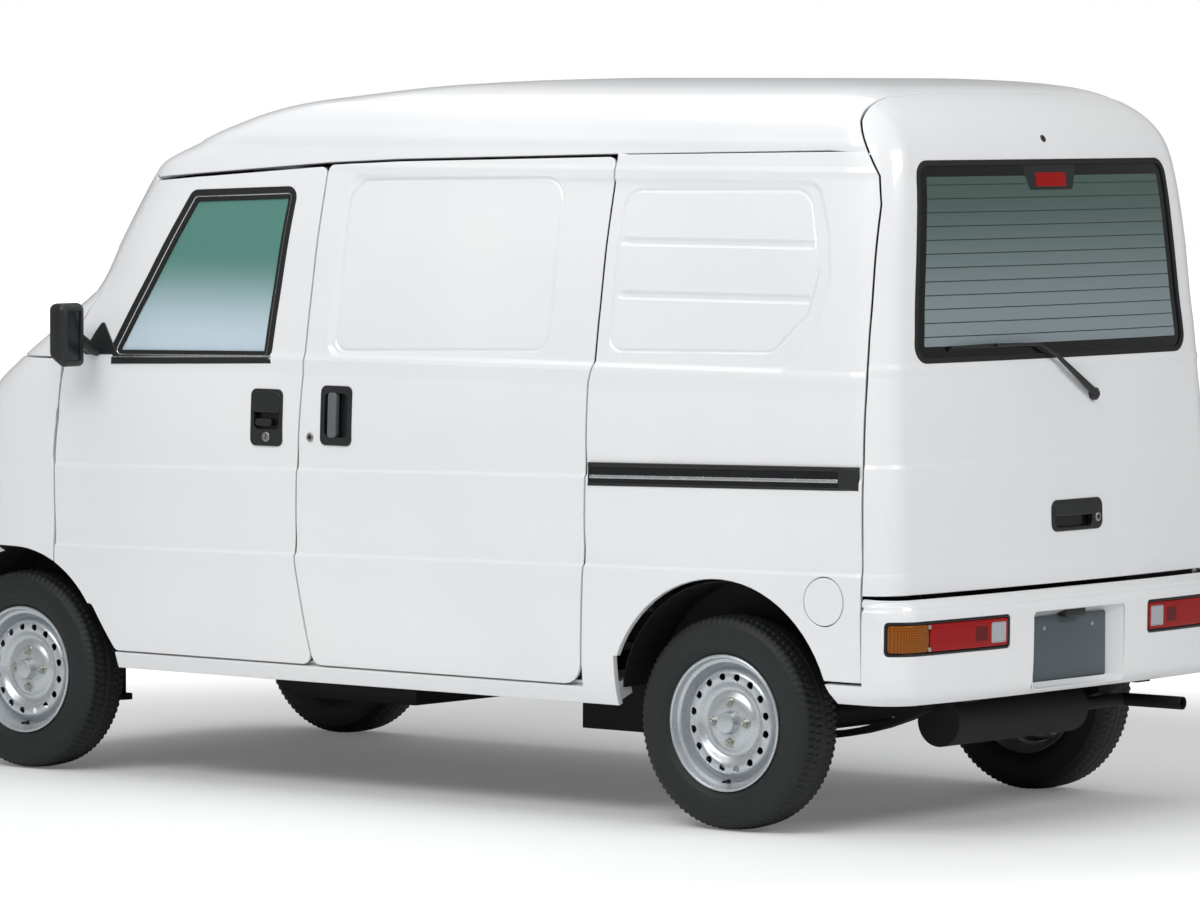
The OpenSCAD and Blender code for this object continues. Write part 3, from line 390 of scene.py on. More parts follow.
# %% Smooth curve through table values
def monotone(xs, ys):
    xs = np.array(xs, float)
    ys = np.array(ys, float)
    step = np.diff(xs)
    rise = np.diff(ys) / step
    slope = np.zeros(len(xs))
    for i in range(1, len(xs) - 1):
        if rise[i - 1] * rise[i] > 0:
            a = 2 * step[i] + step[i - 1]
            b = step[i] + 2 * step[i - 1]
            slope[i] = (a + b) / (a / rise[i - 1] + b / rise[i])
    slope[0] = rise[0]
    slope[-1] = rise[-1]

    def value(x):
        x = np.clip(np.asarray(x, float), xs[0], xs[-1])
        i = np.clip(np.searchsorted(xs, x, side="right") - 1, 0, len(xs) - 2)
        t = (x - xs[i]) / step[i]
        a = (1 + 2 * t) * (1 - t) ** 2 * ys[i] + t * (1 - t) ** 2 * step[i] * slope[i]
        return a + t * t * (3 - 2 * t) * ys[i + 1] + t * t * (t - 1) * step[i] * slope[i + 1]

    return value


def ease(t):
    t = np.clip(t, 0, 1)
    return t * t * (3 - 2 * t)


# %% [markdown]
# The rows hold height, inset of the side, nose and tail, then the depth and
# squareness of the nose curve, the corner radius and the bow of the rear face.
# Above the gutter the height coordinate turns into length along the skin, so
# the roof can be drawn right up to its ridge.

# %% Outline tables
BODY_ROWS = [
    (292, 30, 90, 45), (340, 14, 62, 42), (420, 4, 48, 40), (600, 0, 42, 38), (700, 4, 43, 40),
    (850, 2, 50, 44),
    (940, 4, 65, 48), (1045, 8, 135, 58), (1120, 14, 225, 64), (1190, 20, 325, 67), (1260, 26, 425, 71),
    (1304, 31, 486, 75), (1450, 46, 572, 83), (1570, 65, 640, 91), (1645, 78, 686, 100),
    (1700, 88, 800, 112),
    (1740, 98, 895, 131), (1780, 118, 1010, 162), (1810, 146, 1140, 197), (1840, 198, 1370, 247),
    (1862, 282, 1610, 317), (1874, 378, 1850, 417), (1880, 500, 2100, 547)]
RIDGE_ROWS = [(1880, 580, 2140, 570, 260, 90, 18), (1880, 660, 2180, 595, 200, 55, 8),
              (1880, 737, 2220, 620, 150, 20, 1)]
FRONT_BUMPER_ROWS = [(250, 40, 60), (285, 12, 22), (330, 4, 8), (430, 0, 0), (540, 0, 2), (590, 4, 14),
                     (606, 10, 32)]
REAR_BUMPER_ROWS = [(338, 22, 26), (365, 6, 8), (420, 0, 2), (540, 0, 0), (585, 2, 8), (606, 8, 30)]
NOSE_DEPTH = 480
SCREEN_DEPTH = 330


def body_columns():
    rows = []
    for z, side, front, rear in BODY_ROWS:
        t = min(max((z - 940) / 200, 0), 1)
        rows.append((z, side, front, rear, NOSE_DEPTH + (SCREEN_DEPTH - NOSE_DEPTH) * t, 4 - t, 105, 24))
    for z, side, front, rear, depth, radius, bow in RIDGE_ROWS:
        rows.append((z, side, front, rear, depth, 3, radius, bow))
    heights = [rows[0][0]]
    for a, b in zip(rows, rows[1:]):
        heights.append(heights[-1] + (b[0] - a[0] if b[0] <= 1645 else math.hypot(b[0] - a[0], b[1] - a[1])))
    return heights, rows


# Uniform arc length along the nose curve, from the side (0) to the centre line (1)
fine = np.linspace(0, math.pi / 2, 721)
arc_x = NOSE_DEPTH * np.sin(fine) ** 0.5
arc_y = HALF * np.cos(fine) ** 0.5
arc_run = np.concatenate([[0], np.cumsum(np.hypot(np.diff(arc_x), np.diff(arc_y)))])
arc_run /= arc_run[-1]


class Plan:
    """The measures of the outline at a height."""


def make_skin(heights, rows, flat=0):
    """The surface as a set of functions of u, along an outline, and h, up the skin."""
    column = [monotone(heights, [r[i] for r in rows]) for i in range(8)]

    def plan(h):
        o = Plan()
        o.w = HALF - column[1](h)
        o.rear = TAIL + column[3](h)
        front = NOSE - column[2](h)
        o.depth, o.power, radius, o.bow = (column[i](h) for i in range(4, 8))
        o.radius = np.minimum(radius, o.w * 0.6)
        o.flat = np.minimum(flat, o.w * 0.5)
        lean = np.arctan(2 * o.bow / np.maximum(o.w - o.radius - o.flat, 1))
        o.turn = math.pi / 2 - lean
        o.end_y = o.w - o.radius + o.radius * np.cos(o.turn)
        o.corner_x = o.rear + o.bow + o.radius * np.sin(o.turn)
        o.nose_x = front - o.depth
        o.nose_run = 0.9 * (o.depth + o.w)
        o.span = np.maximum(o.w - o.radius - o.flat, 1)
        return o

    def point(u, h):
        o = plan(h)
        angle = np.clip((o.corner_x - u) / o.radius, 0, None)
        past = np.clip(angle - o.turn, 0, None) * o.radius
        on_corner = np.minimum(angle, o.turn)
        x = np.where(u >= o.corner_x, u, o.corner_x - o.radius * np.sin(on_corner))
        y = np.where(u >= o.corner_x, o.w, o.w - o.radius + o.radius * np.cos(on_corner))
        y_rear = o.end_y - past
        x_rear = o.rear + o.bow * (np.maximum(y_rear - o.flat, 0) / o.span) ** 2
        x = np.where(past > 0, x_rear, x)
        y = np.where(past > 0, y_rear, y)
        t = np.clip((u - o.nose_x) / o.nose_run, 0, 1)
        theta = np.interp(t, arc_run, fine)
        x = np.where(u > o.nose_x, o.nose_x + o.depth * np.sin(theta) ** (2 / o.power), x)
        y = np.where(u > o.nose_x, o.w * np.clip(np.cos(theta), 0, 1) ** (2 / o.power), y)
        return np.stack([x, y, column[0](h)], axis=-1)

    def from_x(x, h):
        o = plan(h)
        s = np.clip((x - o.nose_x) / o.depth, 0, 1)
        theta = np.arcsin(np.clip(s ** (o.power / 2), 0, 1))
        nose_u = o.nose_x + o.nose_run * np.interp(theta, fine, arc_run)
        back = np.clip((o.corner_x - x) / o.radius, 0, 1)
        angle = np.minimum(np.arcsin(back), o.turn)
        corner_u = o.corner_x - o.radius * angle
        y_rear = o.flat + o.span * np.sqrt(np.clip((x - o.rear) / np.maximum(o.bow, 0.1), 0, 1))
        past_u = o.corner_x - o.radius * o.turn - (o.end_y - y_rear)
        u = np.where(x > o.nose_x, nose_u, x)
        u = np.where(x < o.corner_x, corner_u, u)
        return np.where(x < o.corner_x - o.radius * np.sin(o.turn), past_u, u)

    def rear_centre(h):
        o = plan(h)
        return o.corner_x - o.radius * o.turn - o.end_y

    def nose_centre(h):
        o = plan(h)
        return o.nose_x + o.nose_run

    def from_front_y(y, h):
        o = plan(h)
        theta = np.arccos(np.clip((np.abs(y) / o.w) ** (o.power / 2), 0, 1))
        return o.nose_x + o.nose_run * np.interp(theta, fine, arc_run)

    return {"point": point, "from_x": from_x, "rear": rear_centre, "nose": nose_centre,
            "from_front_y": from_front_y}


body_h, body_rows = body_columns()
RIDGE = body_h[-1]
BODY = make_skin(body_h, body_rows)
nominal = (NOSE_DEPTH, 4)
front_rows = [(z, s, f, 0, *nominal, 105, 24) for z, s, f in FRONT_BUMPER_ROWS]
rear_rows = [(z, s, 42, b, *nominal, 95, 20) for z, s, b in REAR_BUMPER_ROWS]
FRONT_BUMPER = make_skin([row[0] for row in front_rows], front_rows)
REAR_BUMPER = make_skin([row[0] for row in rear_rows], rear_rows, flat=220)
print("ridge at", round(RIDGE), "mm along the skin")


# %% [markdown]
# ## From a flat sheet to a panel
# Each panel starts as a grid in flat coordinates: u along the body and h up
# it. Planes cut the grid along the panel's outline and along every crease, the
# waste is deleted, and the sheet is extruded to the panel's thickness. Rings
# near the surface are pushed outward on a quarter circle, which rolls the edge
# as a press does. Last, every point is carried onto the body surface.

# %% Flat outlines
ZERO = 1e-6


def offset(points, distance, keep=None):
    """Moves each side of a closed outline inwards by a distance; keep(mid) leaves a side in place."""
    area = sum(a[0] * b[1] - b[0] * a[1] for a, b in zip(points, points[1:] + points[:1]))
    sign = 1 if area > 0 else -1
    sides = []
    for a, b in zip(points, points[1:] + points[:1]):
        run = math.hypot(b[0] - a[0], b[1] - a[1])
        if run < 0.05:
            continue
        normal = (-(b[1] - a[1]) / run * sign, (b[0] - a[0]) / run * sign)
        mid = ((a[0] + b[0]) / 2, (a[1] + b[1]) / 2)
        move = 0 if keep and keep(mid) else distance
        sides.append((a[0] + normal[0] * move, a[1] + normal[1] * move, (b[0] - a[0]) / run,
                      (b[1] - a[1]) / run))
    made = []
    for (ax, ay, adx, ady), (bx, by, bdx, bdy) in zip(sides[-1:] + sides[:-1], sides):
        cross = adx * bdy - ady * bdx
        if abs(cross) < 0.02:
            made.append((bx, by))
            continue
        t = ((bx - ax) * bdy - (by - ay) * bdx) / cross
        made.append((ax + adx * t, ay + ady * t))
    return made


def rounded(points, radius, parts=6):
    """A closed outline with its corners turned into arcs. A radius may be one value or one a corner."""
    radii = radius if isinstance(radius, (list, tuple)) else [radius] * len(points)
    made = []
    for i, corner in enumerate(points):
        before = Vector(points[i - 1]) - Vector(corner)
        after = Vector(points[(i + 1) % len(points)]) - Vector(corner)
        half = before.angle(after) / 2
        if radii[i] < 0.5 or half > math.pi / 2 - 0.02:
            made.append(tuple(corner))
            continue
        reach = min(radii[i] / math.tan(half), before.length * 0.49, after.length * 0.49)
        start = Vector(corner) + before.normalized() * reach
        end = Vector(corner) + after.normalized() * reach
        inward = (before.normalized() + after.normalized()).normalized()
        centre = Vector(corner) + inward * (reach / math.cos(half))
        a = start - centre
        turn = a.angle_signed(end - centre)
        for k in range(parts + 1):
            c, s = math.cos(-turn * k / parts), math.sin(-turn * k / parts)
            made.append((centre.x + a.x * c - a.y * s, centre.y + a.x * s + a.y * c))
    return made


def arc(cx, cy, radius, start, end, parts):
    angles = np.radians(np.linspace(start, end, parts + 1))
    return [(cx + radius * math.cos(a), cy + radius * math.sin(a)) for a in angles]


def inside(points, xs, ys):
    result = np.zeros(len(xs), bool)
    for (ax, ay), (bx, by) in zip(points, points[1:] + points[:1]):
        crosses = (ay > ys) != (by > ys)
        if ay != by:
            result ^= crosses & (xs < (bx - ax) * (ys - ay) / (by - ay) + ax)
    return result


def distance_in(points, xs, ys):
    """Distance to a closed outline, positive inside."""
    best = np.full(len(xs), 1e9)
    for (ax, ay), (bx, by) in zip(points, points[1:] + points[:1]):
        dx, dy = bx - ax, by - ay
        run = dx * dx + dy * dy
        if run < ZERO:
            continue
        t = np.clip(((xs - ax) * dx + (ys - ay) * dy) / run, 0, 1)
        best = np.minimum(best, np.hypot(xs - ax - t * dx, ys - ay - t * dy))
    return np.where(inside(points, xs, ys), best, -best)


# %% [markdown]
# ### Cutting the sheet
# The sheet is a plain grid with closer rows where the surface bends most. Each
# line of a pressing is cut in with a plane, only across the faces that it
# meets. Faces whose middle lies outside the outline or in a hole are deleted.


# %% Cutting a flat sheet
def spaced(low, high, step, fine_bands=()):
    """Grid lines from low to high, closer together within (low, high, step) bands."""
    lines = [low]
    while lines[-1] < high - ZERO:
        gap = min([step] + [s for a, b, s in fine_bands if a - ZERO <= lines[-1] < b])
        nxt = [a for a, b, s in fine_bands if lines[-1] < a - ZERO]
        lines.append(min([lines[-1] + gap, high] + [a for a in nxt if a < lines[-1] + gap]))
    return lines


def flat_grid(us, hs):
    bm = bmesh.new()
    bmesh.ops.create_grid(bm, x_segments=len(us) - 1, y_segments=len(hs) - 1, size=0.5)
    for v in bm.verts:
        v.co.x = us[round((v.co.x + 0.5) * (len(us) - 1))]
        v.co.y = hs[round((v.co.y + 0.5) * (len(hs) - 1))]
    return bm


def reach_of(face):
    c = face.calc_center_median()
    return face, c.x, c.y, max((v.co - c).length for v in face.verts)


def knife(bm, lines):
    """Cuts the flat sheet along polylines. Each is (points, closed)."""
    known = [reach_of(f) for f in bm.faces]
    for points, closed in lines:
        for a, b in zip(points, points[1:] + points[:1] if closed else points[1:]):
            dx, dy = b[0] - a[0], b[1] - a[1]
            run = math.hypot(dx, dy)
            if run < 0.05:
                continue
            dx, dy = dx / run, dy / run
            near = []
            far = []
            for item in known:
                t = min(max((item[1] - a[0]) * dx + (item[2] - a[1]) * dy, 0), run)
                gap = math.hypot(item[1] - a[0] - t * dx, item[2] - a[1] - t * dy)
                (near if gap < item[3] else far).append(item)
            if not near:
                continue
            faces = [item[0] for item in near]
            geom = list({v for f in faces for v in f.verts}) + list({e for f in faces
                                                                     for e in f.edges}) + faces
            cut = bmesh.ops.bisect_plane(bm, geom=geom, dist=0.02, plane_co=(a[0], a[1], 0),
                                         plane_no=(-dy, dx, 0))
            far.extend(reach_of(g) for g in cut["geom"] if isinstance(g, bmesh.types.BMFace) and g.is_valid)
            known = far


def drop_outside(bm, outline, holes=()):
    centres = [f.calc_center_median() for f in bm.faces]
    xs = np.array([c.x for c in centres])
    ys = np.array([c.y for c in centres])
    keep = inside(outline, xs, ys)
    for hole in holes:
        keep &= ~inside(hole, xs, ys)
    bmesh.ops.delete(bm, geom=[f for f, k in zip(list(bm.faces), keep) if not k], context="FACES")
    bmesh.ops.remove_doubles(bm, verts=bm.verts, dist=0.05)
    bmesh.ops.dissolve_degenerate(bm, edges=bm.edges, dist=0.02)


# %% [markdown]
# ### Rolled edges and the wrap
# The thickness points along minus z of the flat sheet. Walls deeper than the
# rolled edge can take a second material: a dark seal, partly the real rubber seal
# in a shut line and partly painted shade that blackens the gap. The wrap then turns (u, h, depth) into a
# point on the body.

# %% Thickness, rolled edges and wrapping
ROLL = 2.4
GAP = 2.5


def key_of(v):
    return round(v.co.x, 2), round(v.co.y, 2)


# Depth from which a wall is dark seal instead of paint: partly real seal, partly painted shade in the shut
# line
SEAL_AND_SHADE_FROM = 9


def thicken(bm, depth, roll, open_side=None):
    outward = {}
    for e in bm.edges:
        if len(e.link_faces) != 1:
            continue
        a, b = (v.co for v in e.verts)
        if open_side and open_side(((a.x + b.x) / 2, (a.y + b.y) / 2)):
            continue
        c = e.link_faces[0].calc_center_median()
        n = Vector((-(b.y - a.y), b.x - a.x, 0)).normalized()
        if n.dot((a + b) / 2 - c) < 0:
            n = -n
        for v in e.verts:
            outward.setdefault(key_of(v), []).append(n)
    moves = {}
    for key, normals in outward.items():
        mean = sum(normals, Vector((0, 0, 0)))
        if mean.length < 0.3:
            continue
        mean.normalize()
        moves[key] = mean / max(mean.dot(normals[0]), 0.5)
    top = list(bm.faces)
    made = bmesh.ops.extrude_face_region(bm, geom=top, use_keep_orig=True)
    bmesh.ops.translate(bm, verts=[g for g in made["geom"] if isinstance(g, bmesh.types.BMVert)],
                        vec=(0, 0, -depth))
    bm.normal_update()
    rings = [30, 60, 90] if roll > 1 else [90]
    drops = [roll * (1 - math.cos(math.radians(angle))) for angle in rings]
    for drop in drops + ([SEAL_AND_SHADE_FROM] if depth > 20 else []):
        walls = [f for f in bm.faces if abs(f.normal.z) < 0.5]
        geom = list({v for f in walls for v in f.verts}) + list({e for f in walls for e in f.edges}) + walls
        bmesh.ops.bisect_plane(bm, geom=geom, dist=0.001, plane_co=(0, 0, -drop), plane_no=(0, 0, 1))
        bm.normal_update()
    for v in bm.verts:
        move = moves.get(key_of(v))
        if move is not None and v.co.z < -0.001:
            down = min(-v.co.z / roll, 1)
            v.co += move * (roll * math.sqrt(max(0, 1 - (1 - down) ** 2)))
    return bm


# Over the first height a downward normal is turned round, over the second every
# normal is upright, and over the third those of the roof's inner face are too
ROOF_SIDE_TOP = 1780
ROOF_FLAT = 1878
ROOF_LINING = 1842


def wrap(bm, skin, domain, side, press=None, sink=0, press_depth=6):
    n = len(bm.verts)
    flat = np.array([v.co for v in bm.verts], float).reshape(n, 3)
    a, h, depth = flat[:, 0], flat[:, 1], -flat[:, 2]
    sign = np.full(n, float(side))
    if domain in ("rear", "front"):
        sign = np.where(a < 0, -1.0, 1.0)

    def along(a, h):
        if domain == "side":
            return a
        if domain == "rear":
            return skin["rear"](h) + np.abs(a)
        if domain in ("front", "front_half"):
            return skin["nose"](h) - np.abs(a)
        return skin["rear"](h) + (skin["nose"](h) - skin["rear"](h)) * np.clip(a / ROOF_RUN, 0, 1)

    u = along(a, h)
    p = skin["point"](u, h)
    h_up = np.minimum(h + 1.5, RIDGE) if skin is BODY else h + 1.5
    h_down = h - 1.5
    t_u = skin["point"](u + 1.5, h) - skin["point"](u - 1.5, h)
    t_h = skin["point"](u, h_up) - skin["point"](u, h_down)
    normal = np.cross(t_h, t_u)
    length = np.linalg.norm(normal, axis=1)
    flat_top = (length < 0.05) | (p[:, 1] < 1.5)
    normal[flat_top & (normal[:, 2] > 0)] *= (1, 0, 1)
    length = np.linalg.norm(normal, axis=1)
    normal = np.where(length[:, None] > 1e-4, normal / np.maximum(length, 1e-4)[:, None], (0, 0, 1))
    if skin is BODY:
        normal[(normal[:, 2] < 0) & (p[:, 2] > ROOF_SIDE_TOP)] *= -1
        normal[p[:, 2] > ROOF_FLAT] = (0, 0, 1)
        if domain == "roof":
            normal[(p[:, 2] > ROOF_LINING) & (depth > 12)] = (0, 0, 1)
    lift = -depth - sink
    if press is not None:
        lift = lift + np.where(depth < press_depth, press(p[:, 0], p[:, 1] * sign, p[:, 2]), 0)
    p = p + normal * lift[:, None]
    p[:, 1] *= sign
    p *= MM
    for v, q in zip(bm.verts, p):
        v.co = q
    return bm


def both_halves(bm):
    """Joins a half that ends on the centre line to its mirror image."""
    seam = [f for f in bm.faces if all(abs(v.co.y) < 0.0006 for v in f.verts)]
    bmesh.ops.delete(bm, geom=seam, context="FACES")
    copy = bmesh.ops.duplicate(bm, geom=list(bm.verts) + list(bm.edges) + list(bm.faces))
    bmesh.ops.scale(bm, verts=[g for g in copy["geom"] if isinstance(g, bmesh.types.BMVert)], vec=(1, -1, 1))
    bmesh.ops.remove_doubles(bm, verts=bm.verts, dist=0.0004)


ROOF_RUN = 3400


def panel(name, outline, body, mats, domain="side", side=1, skin=BODY, holes=(), lines=(), step=40, bands=(),
          depth=36, gap=GAP, roll=ROLL, press=None, open_side=None, sink=0, halves=False, patches=(),
          replaces=()):
    """A stamped panel: flat sheet, cut, thickened, wrapped on a surface.

    mats: outer skin, then walls deeper than the rolled edge, then the inner face.
    patches: (flat outline, material index) for parts of the outer skin.
    """
    edge = offset(outline, gap, open_side)
    sheet_edge = offset(edge, roll, open_side)
    sheet_holes = [offset(hole, -roll) for hole in holes]
    a0, a1 = min(p[0] for p in edge) - 1, max(p[0] for p in edge) + 1
    h0, h1 = min(p[1] for p in edge) - 1, max(p[1] for p in edge) + 1
    a_bands = [b[1:] for b in bands if b[0] == "a"]
    h_bands = [b[1:] for b in bands if b[0] == "h"]
    bm = flat_grid(spaced(a0, a1, step, a_bands), spaced(h0, h1, step, h_bands))
    patch_lines = [(patch, True) for patch, index in patches]
    knife(bm, [(sheet_edge, True)] + [(hole, True) for hole in sheet_holes] + list(lines) + patch_lines)
    drop_outside(bm, sheet_edge, sheet_holes)
    thicken(bm, depth, roll, open_side)
    bm.normal_update()
    # Deep walls take the second material, a dark seal: partly a real rubber seal, partly painted shade that
    # blackens the shut line.
    for f in bm.faces:
        low = max(v.co.z for v in f.verts)
        centre = f.calc_center_median()
        if low < -depth + 0.5 and len(mats) > 2:
            f.material_index = 2
        elif low < -min(SEAL_AND_SHADE_FROM, depth / 2) + 0.5 and len(mats) > 1:
            f.material_index = 1
        elif low > -0.01:
            for patch, index in patches:
                if inside(patch, np.array([centre.x]), np.array([centre.y]))[0]:
                    f.material_index = index
    wrap(bm, skin, domain, side, press, sink)
    if halves:
        both_halves(bm)
    bmesh.ops.recalc_face_normals(bm, faces=bm.faces)
    if domain == "roof":
        folded = [f for f in bm.faces if f.normal.z < -0.5
                  and f.calc_center_median().z > (ROOF_FLAT + 1) * MM]
        bmesh.ops.delete(bm, geom=folded, context="FACES")
        print("folds taken out of the flat top:", len(folded), "faces")
    return finish(bm, name, mats, body, replaces, weighted=True)


print("panel tools ready")

# %% [markdown]
# ## Pressed shapes of the side
# Two long creases stiffen the lower side, a bead runs under the windows, and
# the van's blanked windows are shallow pressings with a fine groove around
# them. Each press feature is a small inward or outward displacement, as a
# function of the place on the side. Nothing presses outwards at the widest
# line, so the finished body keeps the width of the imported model.

# %% Press features
BAND = rounded([(204, 1150), (158, 1630), (-1374, 1630), (-1422, 1500), (-1436, 1390), (-1402, 1267),
                (-1317, 1150)],
               [40, 30, 60, 0, 60, 0, 60])
DOOR_BLANK = rounded([(176, 1169), (152, 1612), (-556, 1625), (-540, 1188)], [34, 60, 60, 50])
REAR_BLANK = rounded([(-739, 1193), (-758, 1597), (-1340, 1604), (-1392, 1400), (-1366, 1300),
                      (-1261, 1202)],
                     [40, 50, 60, 40, 40, 50])
RIBS = [(1457, 1481), (1322, 1346)]


def low_crease(x):
    return 622 - 0.01572 * (x - 1371)


def high_crease(x):
    return 842 - 0.02114 * (x - 1165)


def step_at(gap, height, run, fade):
    """A shoulder: full height just above the line, eased to nothing below it and far above it."""
    below = ease((gap + run) / run)
    above = 1 - ease(gap / fade)
    return -height * np.where(gap < 0, below, above)


def side_press(x, y, z):
    value = step_at(z - low_crease(x), 6.0, 12, 110)
    value += step_at(z - high_crease(x), 5.5, 12, 100) * ease((1200 - x) / 60)
    bead = ease((z - 1104) / 36) * ease((1162 - z) / 20)
    value += 4.5 * bead * ease((980 - x) / 60)
    value -= 7.5 * ease(distance_in(BAND, x, z) / 17)
    value += 2.5 * ease((z - 1636) / 8) * ease((1660 - z) / 12) * ease((200 - x) / 30)
    for blank in (DOOR_BLANK, REAR_BLANK):
        value -= 4.0 * ease(1 - np.abs(distance_in(blank, x, z)) / 7)
    for low, high in RIBS:
        across = ease((z - low) / 8) * ease((high - z) / 8)
        value -= 6.5 * across * ease((-758 - x) / 14) * ease((x + 1372) / 14)
    return value


def feature_lines(x0, x1):
    """Cut lines that carry the creases and pressings between two stations."""
    xs = [x0 - 30, x1 + 30]
    lines = []
    for drop in (0, -3, -6, -9, -12, 16, 40):
        lines.append(([(x, low_crease(x) + drop) for x in xs], False))
    for drop in (0, -4, -8, -12, 16, 40):
        lines.append(([(x, high_crease(x) + drop) for x in xs], False))
    for z in (1104, 1122, 1140, 1151, 1162, 1636, 1644, 1650, 1660):
        lines.append(([(x0 - 30, z), (x1 + 30, z)], False))
    for inset in (0, 5, 11, 17):
        lines.append((offset(BAND, inset), True))
    for blank in (DOOR_BLANK, REAR_BLANK):
        for inset in (-6, -3, 0, 3, 6):
            lines.append((offset(blank, inset), True))
    for low, high in RIBS:
        for z in (low, low + 4, low + 8, high - 8, high - 4, high):
            lines.append(([(-755, z), (-1375, z)], False))
        for x in (-758, -765, -772, -1358, -1365, -1372):
            lines.append(([(x, low - 2), (x, high + 2)], False))
    return lines


# %% [markdown]
# ## Stations and shut lines
# Places are given as on a body drawing: a length from the front or the rear
# axle, or from the tail, and a height over the ground. Small functions turn
# them into the flat coordinates of the side, the rear, the front or the roof.

# %% Heights, stations and shut lines
dense_h = np.linspace(body_h[0], RIDGE, 3001)
dense_z = BODY["point"](np.zeros(3001), dense_h)[:, 2]


def H(z):
    return float(np.interp(z, dense_z, dense_h))


def side_point(x, z):
    return float(BODY["from_x"](x, H(z))), H(z)


def rear_point(x, z):
    h = H(z)
    return float(BODY["from_x"](x, h) - BODY["rear"](h)), h


def front_point(x, z):
    h = H(z)
    return float(BODY["nose"](h) - BODY["from_x"](x, h)), h


def roof_point(x, z):
    h = H(z)
    low, high = BODY["rear"](h), BODY["nose"](h)
    return float((BODY["from_x"](x, h) - low) / (high - low) * ROOF_RUN), h


def fx(d):
    return FRONT_AXLE - d


def rx(d):
    return REAR_AXLE + d


def dense_path(points, step=60):
    made = [points[0]]
    for a, b in zip(points, points[1:]):
        n = max(1, math.ceil(math.hypot(b[0] - a[0], b[1] - a[1]) / step))
        made += [(a[0] + (b[0] - a[0]) * k / n, a[1] + (b[1] - a[1]) * k / n) for k in range(1, n + 1)]
    return made


TAIL_SEAM = [(TAIL + 142, 609), (TAIL + 142, 900), (TAIL + 150, 1570), (TAIL + 162, 1640),
             (TAIL + 197, 1702)]
TAIL_SEAM_TOP = [(TAIL + 197, 1702), (TAIL + 240, 1776), (TAIL + 258, 1825), (TAIL + 263, 1840),
                 (TAIL + 265, 1845.5)]
GUTTER = [(fx(300), 1652), (fx(448), 1612), (fx(1068), 1656), (fx(1312), 1667), (rx(424), 1685),
          (TAIL + 190, 1702)]
DOOR_WINDOW = [(fx(330), 1122), (fx(602), 1578), (fx(970), 1592), (fx(918), 1133)]
DOOR_WINDOW_R = 28
BUMPER_TOP = 609
ARCH_Z = 280
FRONT_ARCH_R = 325
REAR_ARCH_R = 350
SILL = 292
print("window band", len(BAND), "points; roof height coordinate", round(H(1876)))


def along_side(points, radii=0, parts=5):
    """A side-view outline in millimetres, as flat coordinates of the side."""
    shape = rounded(points, radii, parts) if radii else list(points)
    return [side_point(x, z) for x, z in dense_path(shape + shape[:1])[:-1]]


HANDS = ((1, "left"), (-1, "right"))


def box_shape(x0, x1, z0, z1, radius, parts=5):
    return rounded([(x0, z0), (x1, z0), (x1, z1), (x0, z1)], radius, parts)


# Corners of the handle bezels: rear lower corner on the side, middle on the tailgate
PULL_X, PULL_Z = fx(972), 912
SLIDE_X, SLIDE_Z = fx(1212), 921
GRIP_Y, GRIP_Z = -42, 780
PULL_BOWL = box_shape(PULL_X + 12, PULL_X + 100, PULL_Z + 44, PULL_Z + 104, 12)
SLIDE_BOWL = box_shape(SLIDE_X + 15, SLIDE_X + 93, SLIDE_Z + 22, SLIDE_Z + 136, 12)
GRIP_BOWL = box_shape(GRIP_Y - 66, GRIP_Y + 98, GRIP_Z - 30, GRIP_Z + 8, 14)

# %% [markdown]
# ### Sliding doors
# The sliding door runs from the door pillar to behind the wheel arch. It has
# no joint in the frame, because it moves two ways in turn.

# %% Sliding doors
SLIDING_DOOR = [(rx(442), 340), (rx(430), 660), (rx(424), 896), (rx(424), 1108), (rx(411), 1150),
                (rx(388), 1682.5),
                (fx(1312), 1664.5), (fx(1068), 1653.5), (fx(1022), 860), (fx(1014), 616), (fx(1072), 340)]
SLIDING_RADII = [60, 0, 0, 30, 30, 22, 0, 22, 200, 200, 30]
for side, hand in HANDS:
    door = panel(f"sliding_door_skin_{hand}", along_side(SLIDING_DOOR, SLIDING_RADII), "root",
                 [enamel, seal_rubber, interior_grey], side=side, lines=feature_lines(rx(442), fx(1014)),
                 press=side_press, holes=[along_side(offset(SLIDE_BOWL, -2))],
                 replaces=[f"sliding_door_{hand}"])
    print(door.name, count(door), "triangles")

# %% [markdown]
# ### Front doors
# The front edge follows the wheel arch, then the raked front pillar. The
# window opening is cut through the whole thickness.

# %% Front doors
WINDOW = rounded(DOOR_WINDOW, DOOR_WINDOW_R, 6)
front_arch = [(FRONT_AXLE + x, ARCH_Z + z) for x, z in arc(0, 0, FRONT_ARCH_R, 145.7, 117.1, 8)]
FRONT_DOOR = ([(fx(1072), 340), (fx(362), 340), (fx(284), 462)] + front_arch
              + [(fx(148), 860), (fx(174), 1120), (fx(448), 1606), (fx(1068), 1650), (fx(1022), 860),
                 (fx(1014), 616)])
FRONT_RADII = [30, 20, 60] + [0] * len(front_arch) + [120, 300, 24, 22, 200, 200]
for side, hand in HANDS:
    window_hole = along_side(WINDOW)
    door = panel(f"front_door_skin_{hand}", along_side(FRONT_DOOR, FRONT_RADII), f"door_{hand}",
                 [enamel, seal_rubber, interior_grey], side=side,
                 holes=[window_hole, along_side(offset(PULL_BOWL, -2))],
                 lines=feature_lines(fx(1072), fx(148)), press=side_press, replaces=[f"front_door_{hand}"])
    print(door.name, count(door), "triangles")

# %% [markdown]
# ### Quarter panels and sills
# One pressing makes the rear quarter, the wheel arch and the sill under the
# doors. Its thickness is that of the arch flange. Behind the doors stand the
# centre pillar and the sill box, set back from the skin.

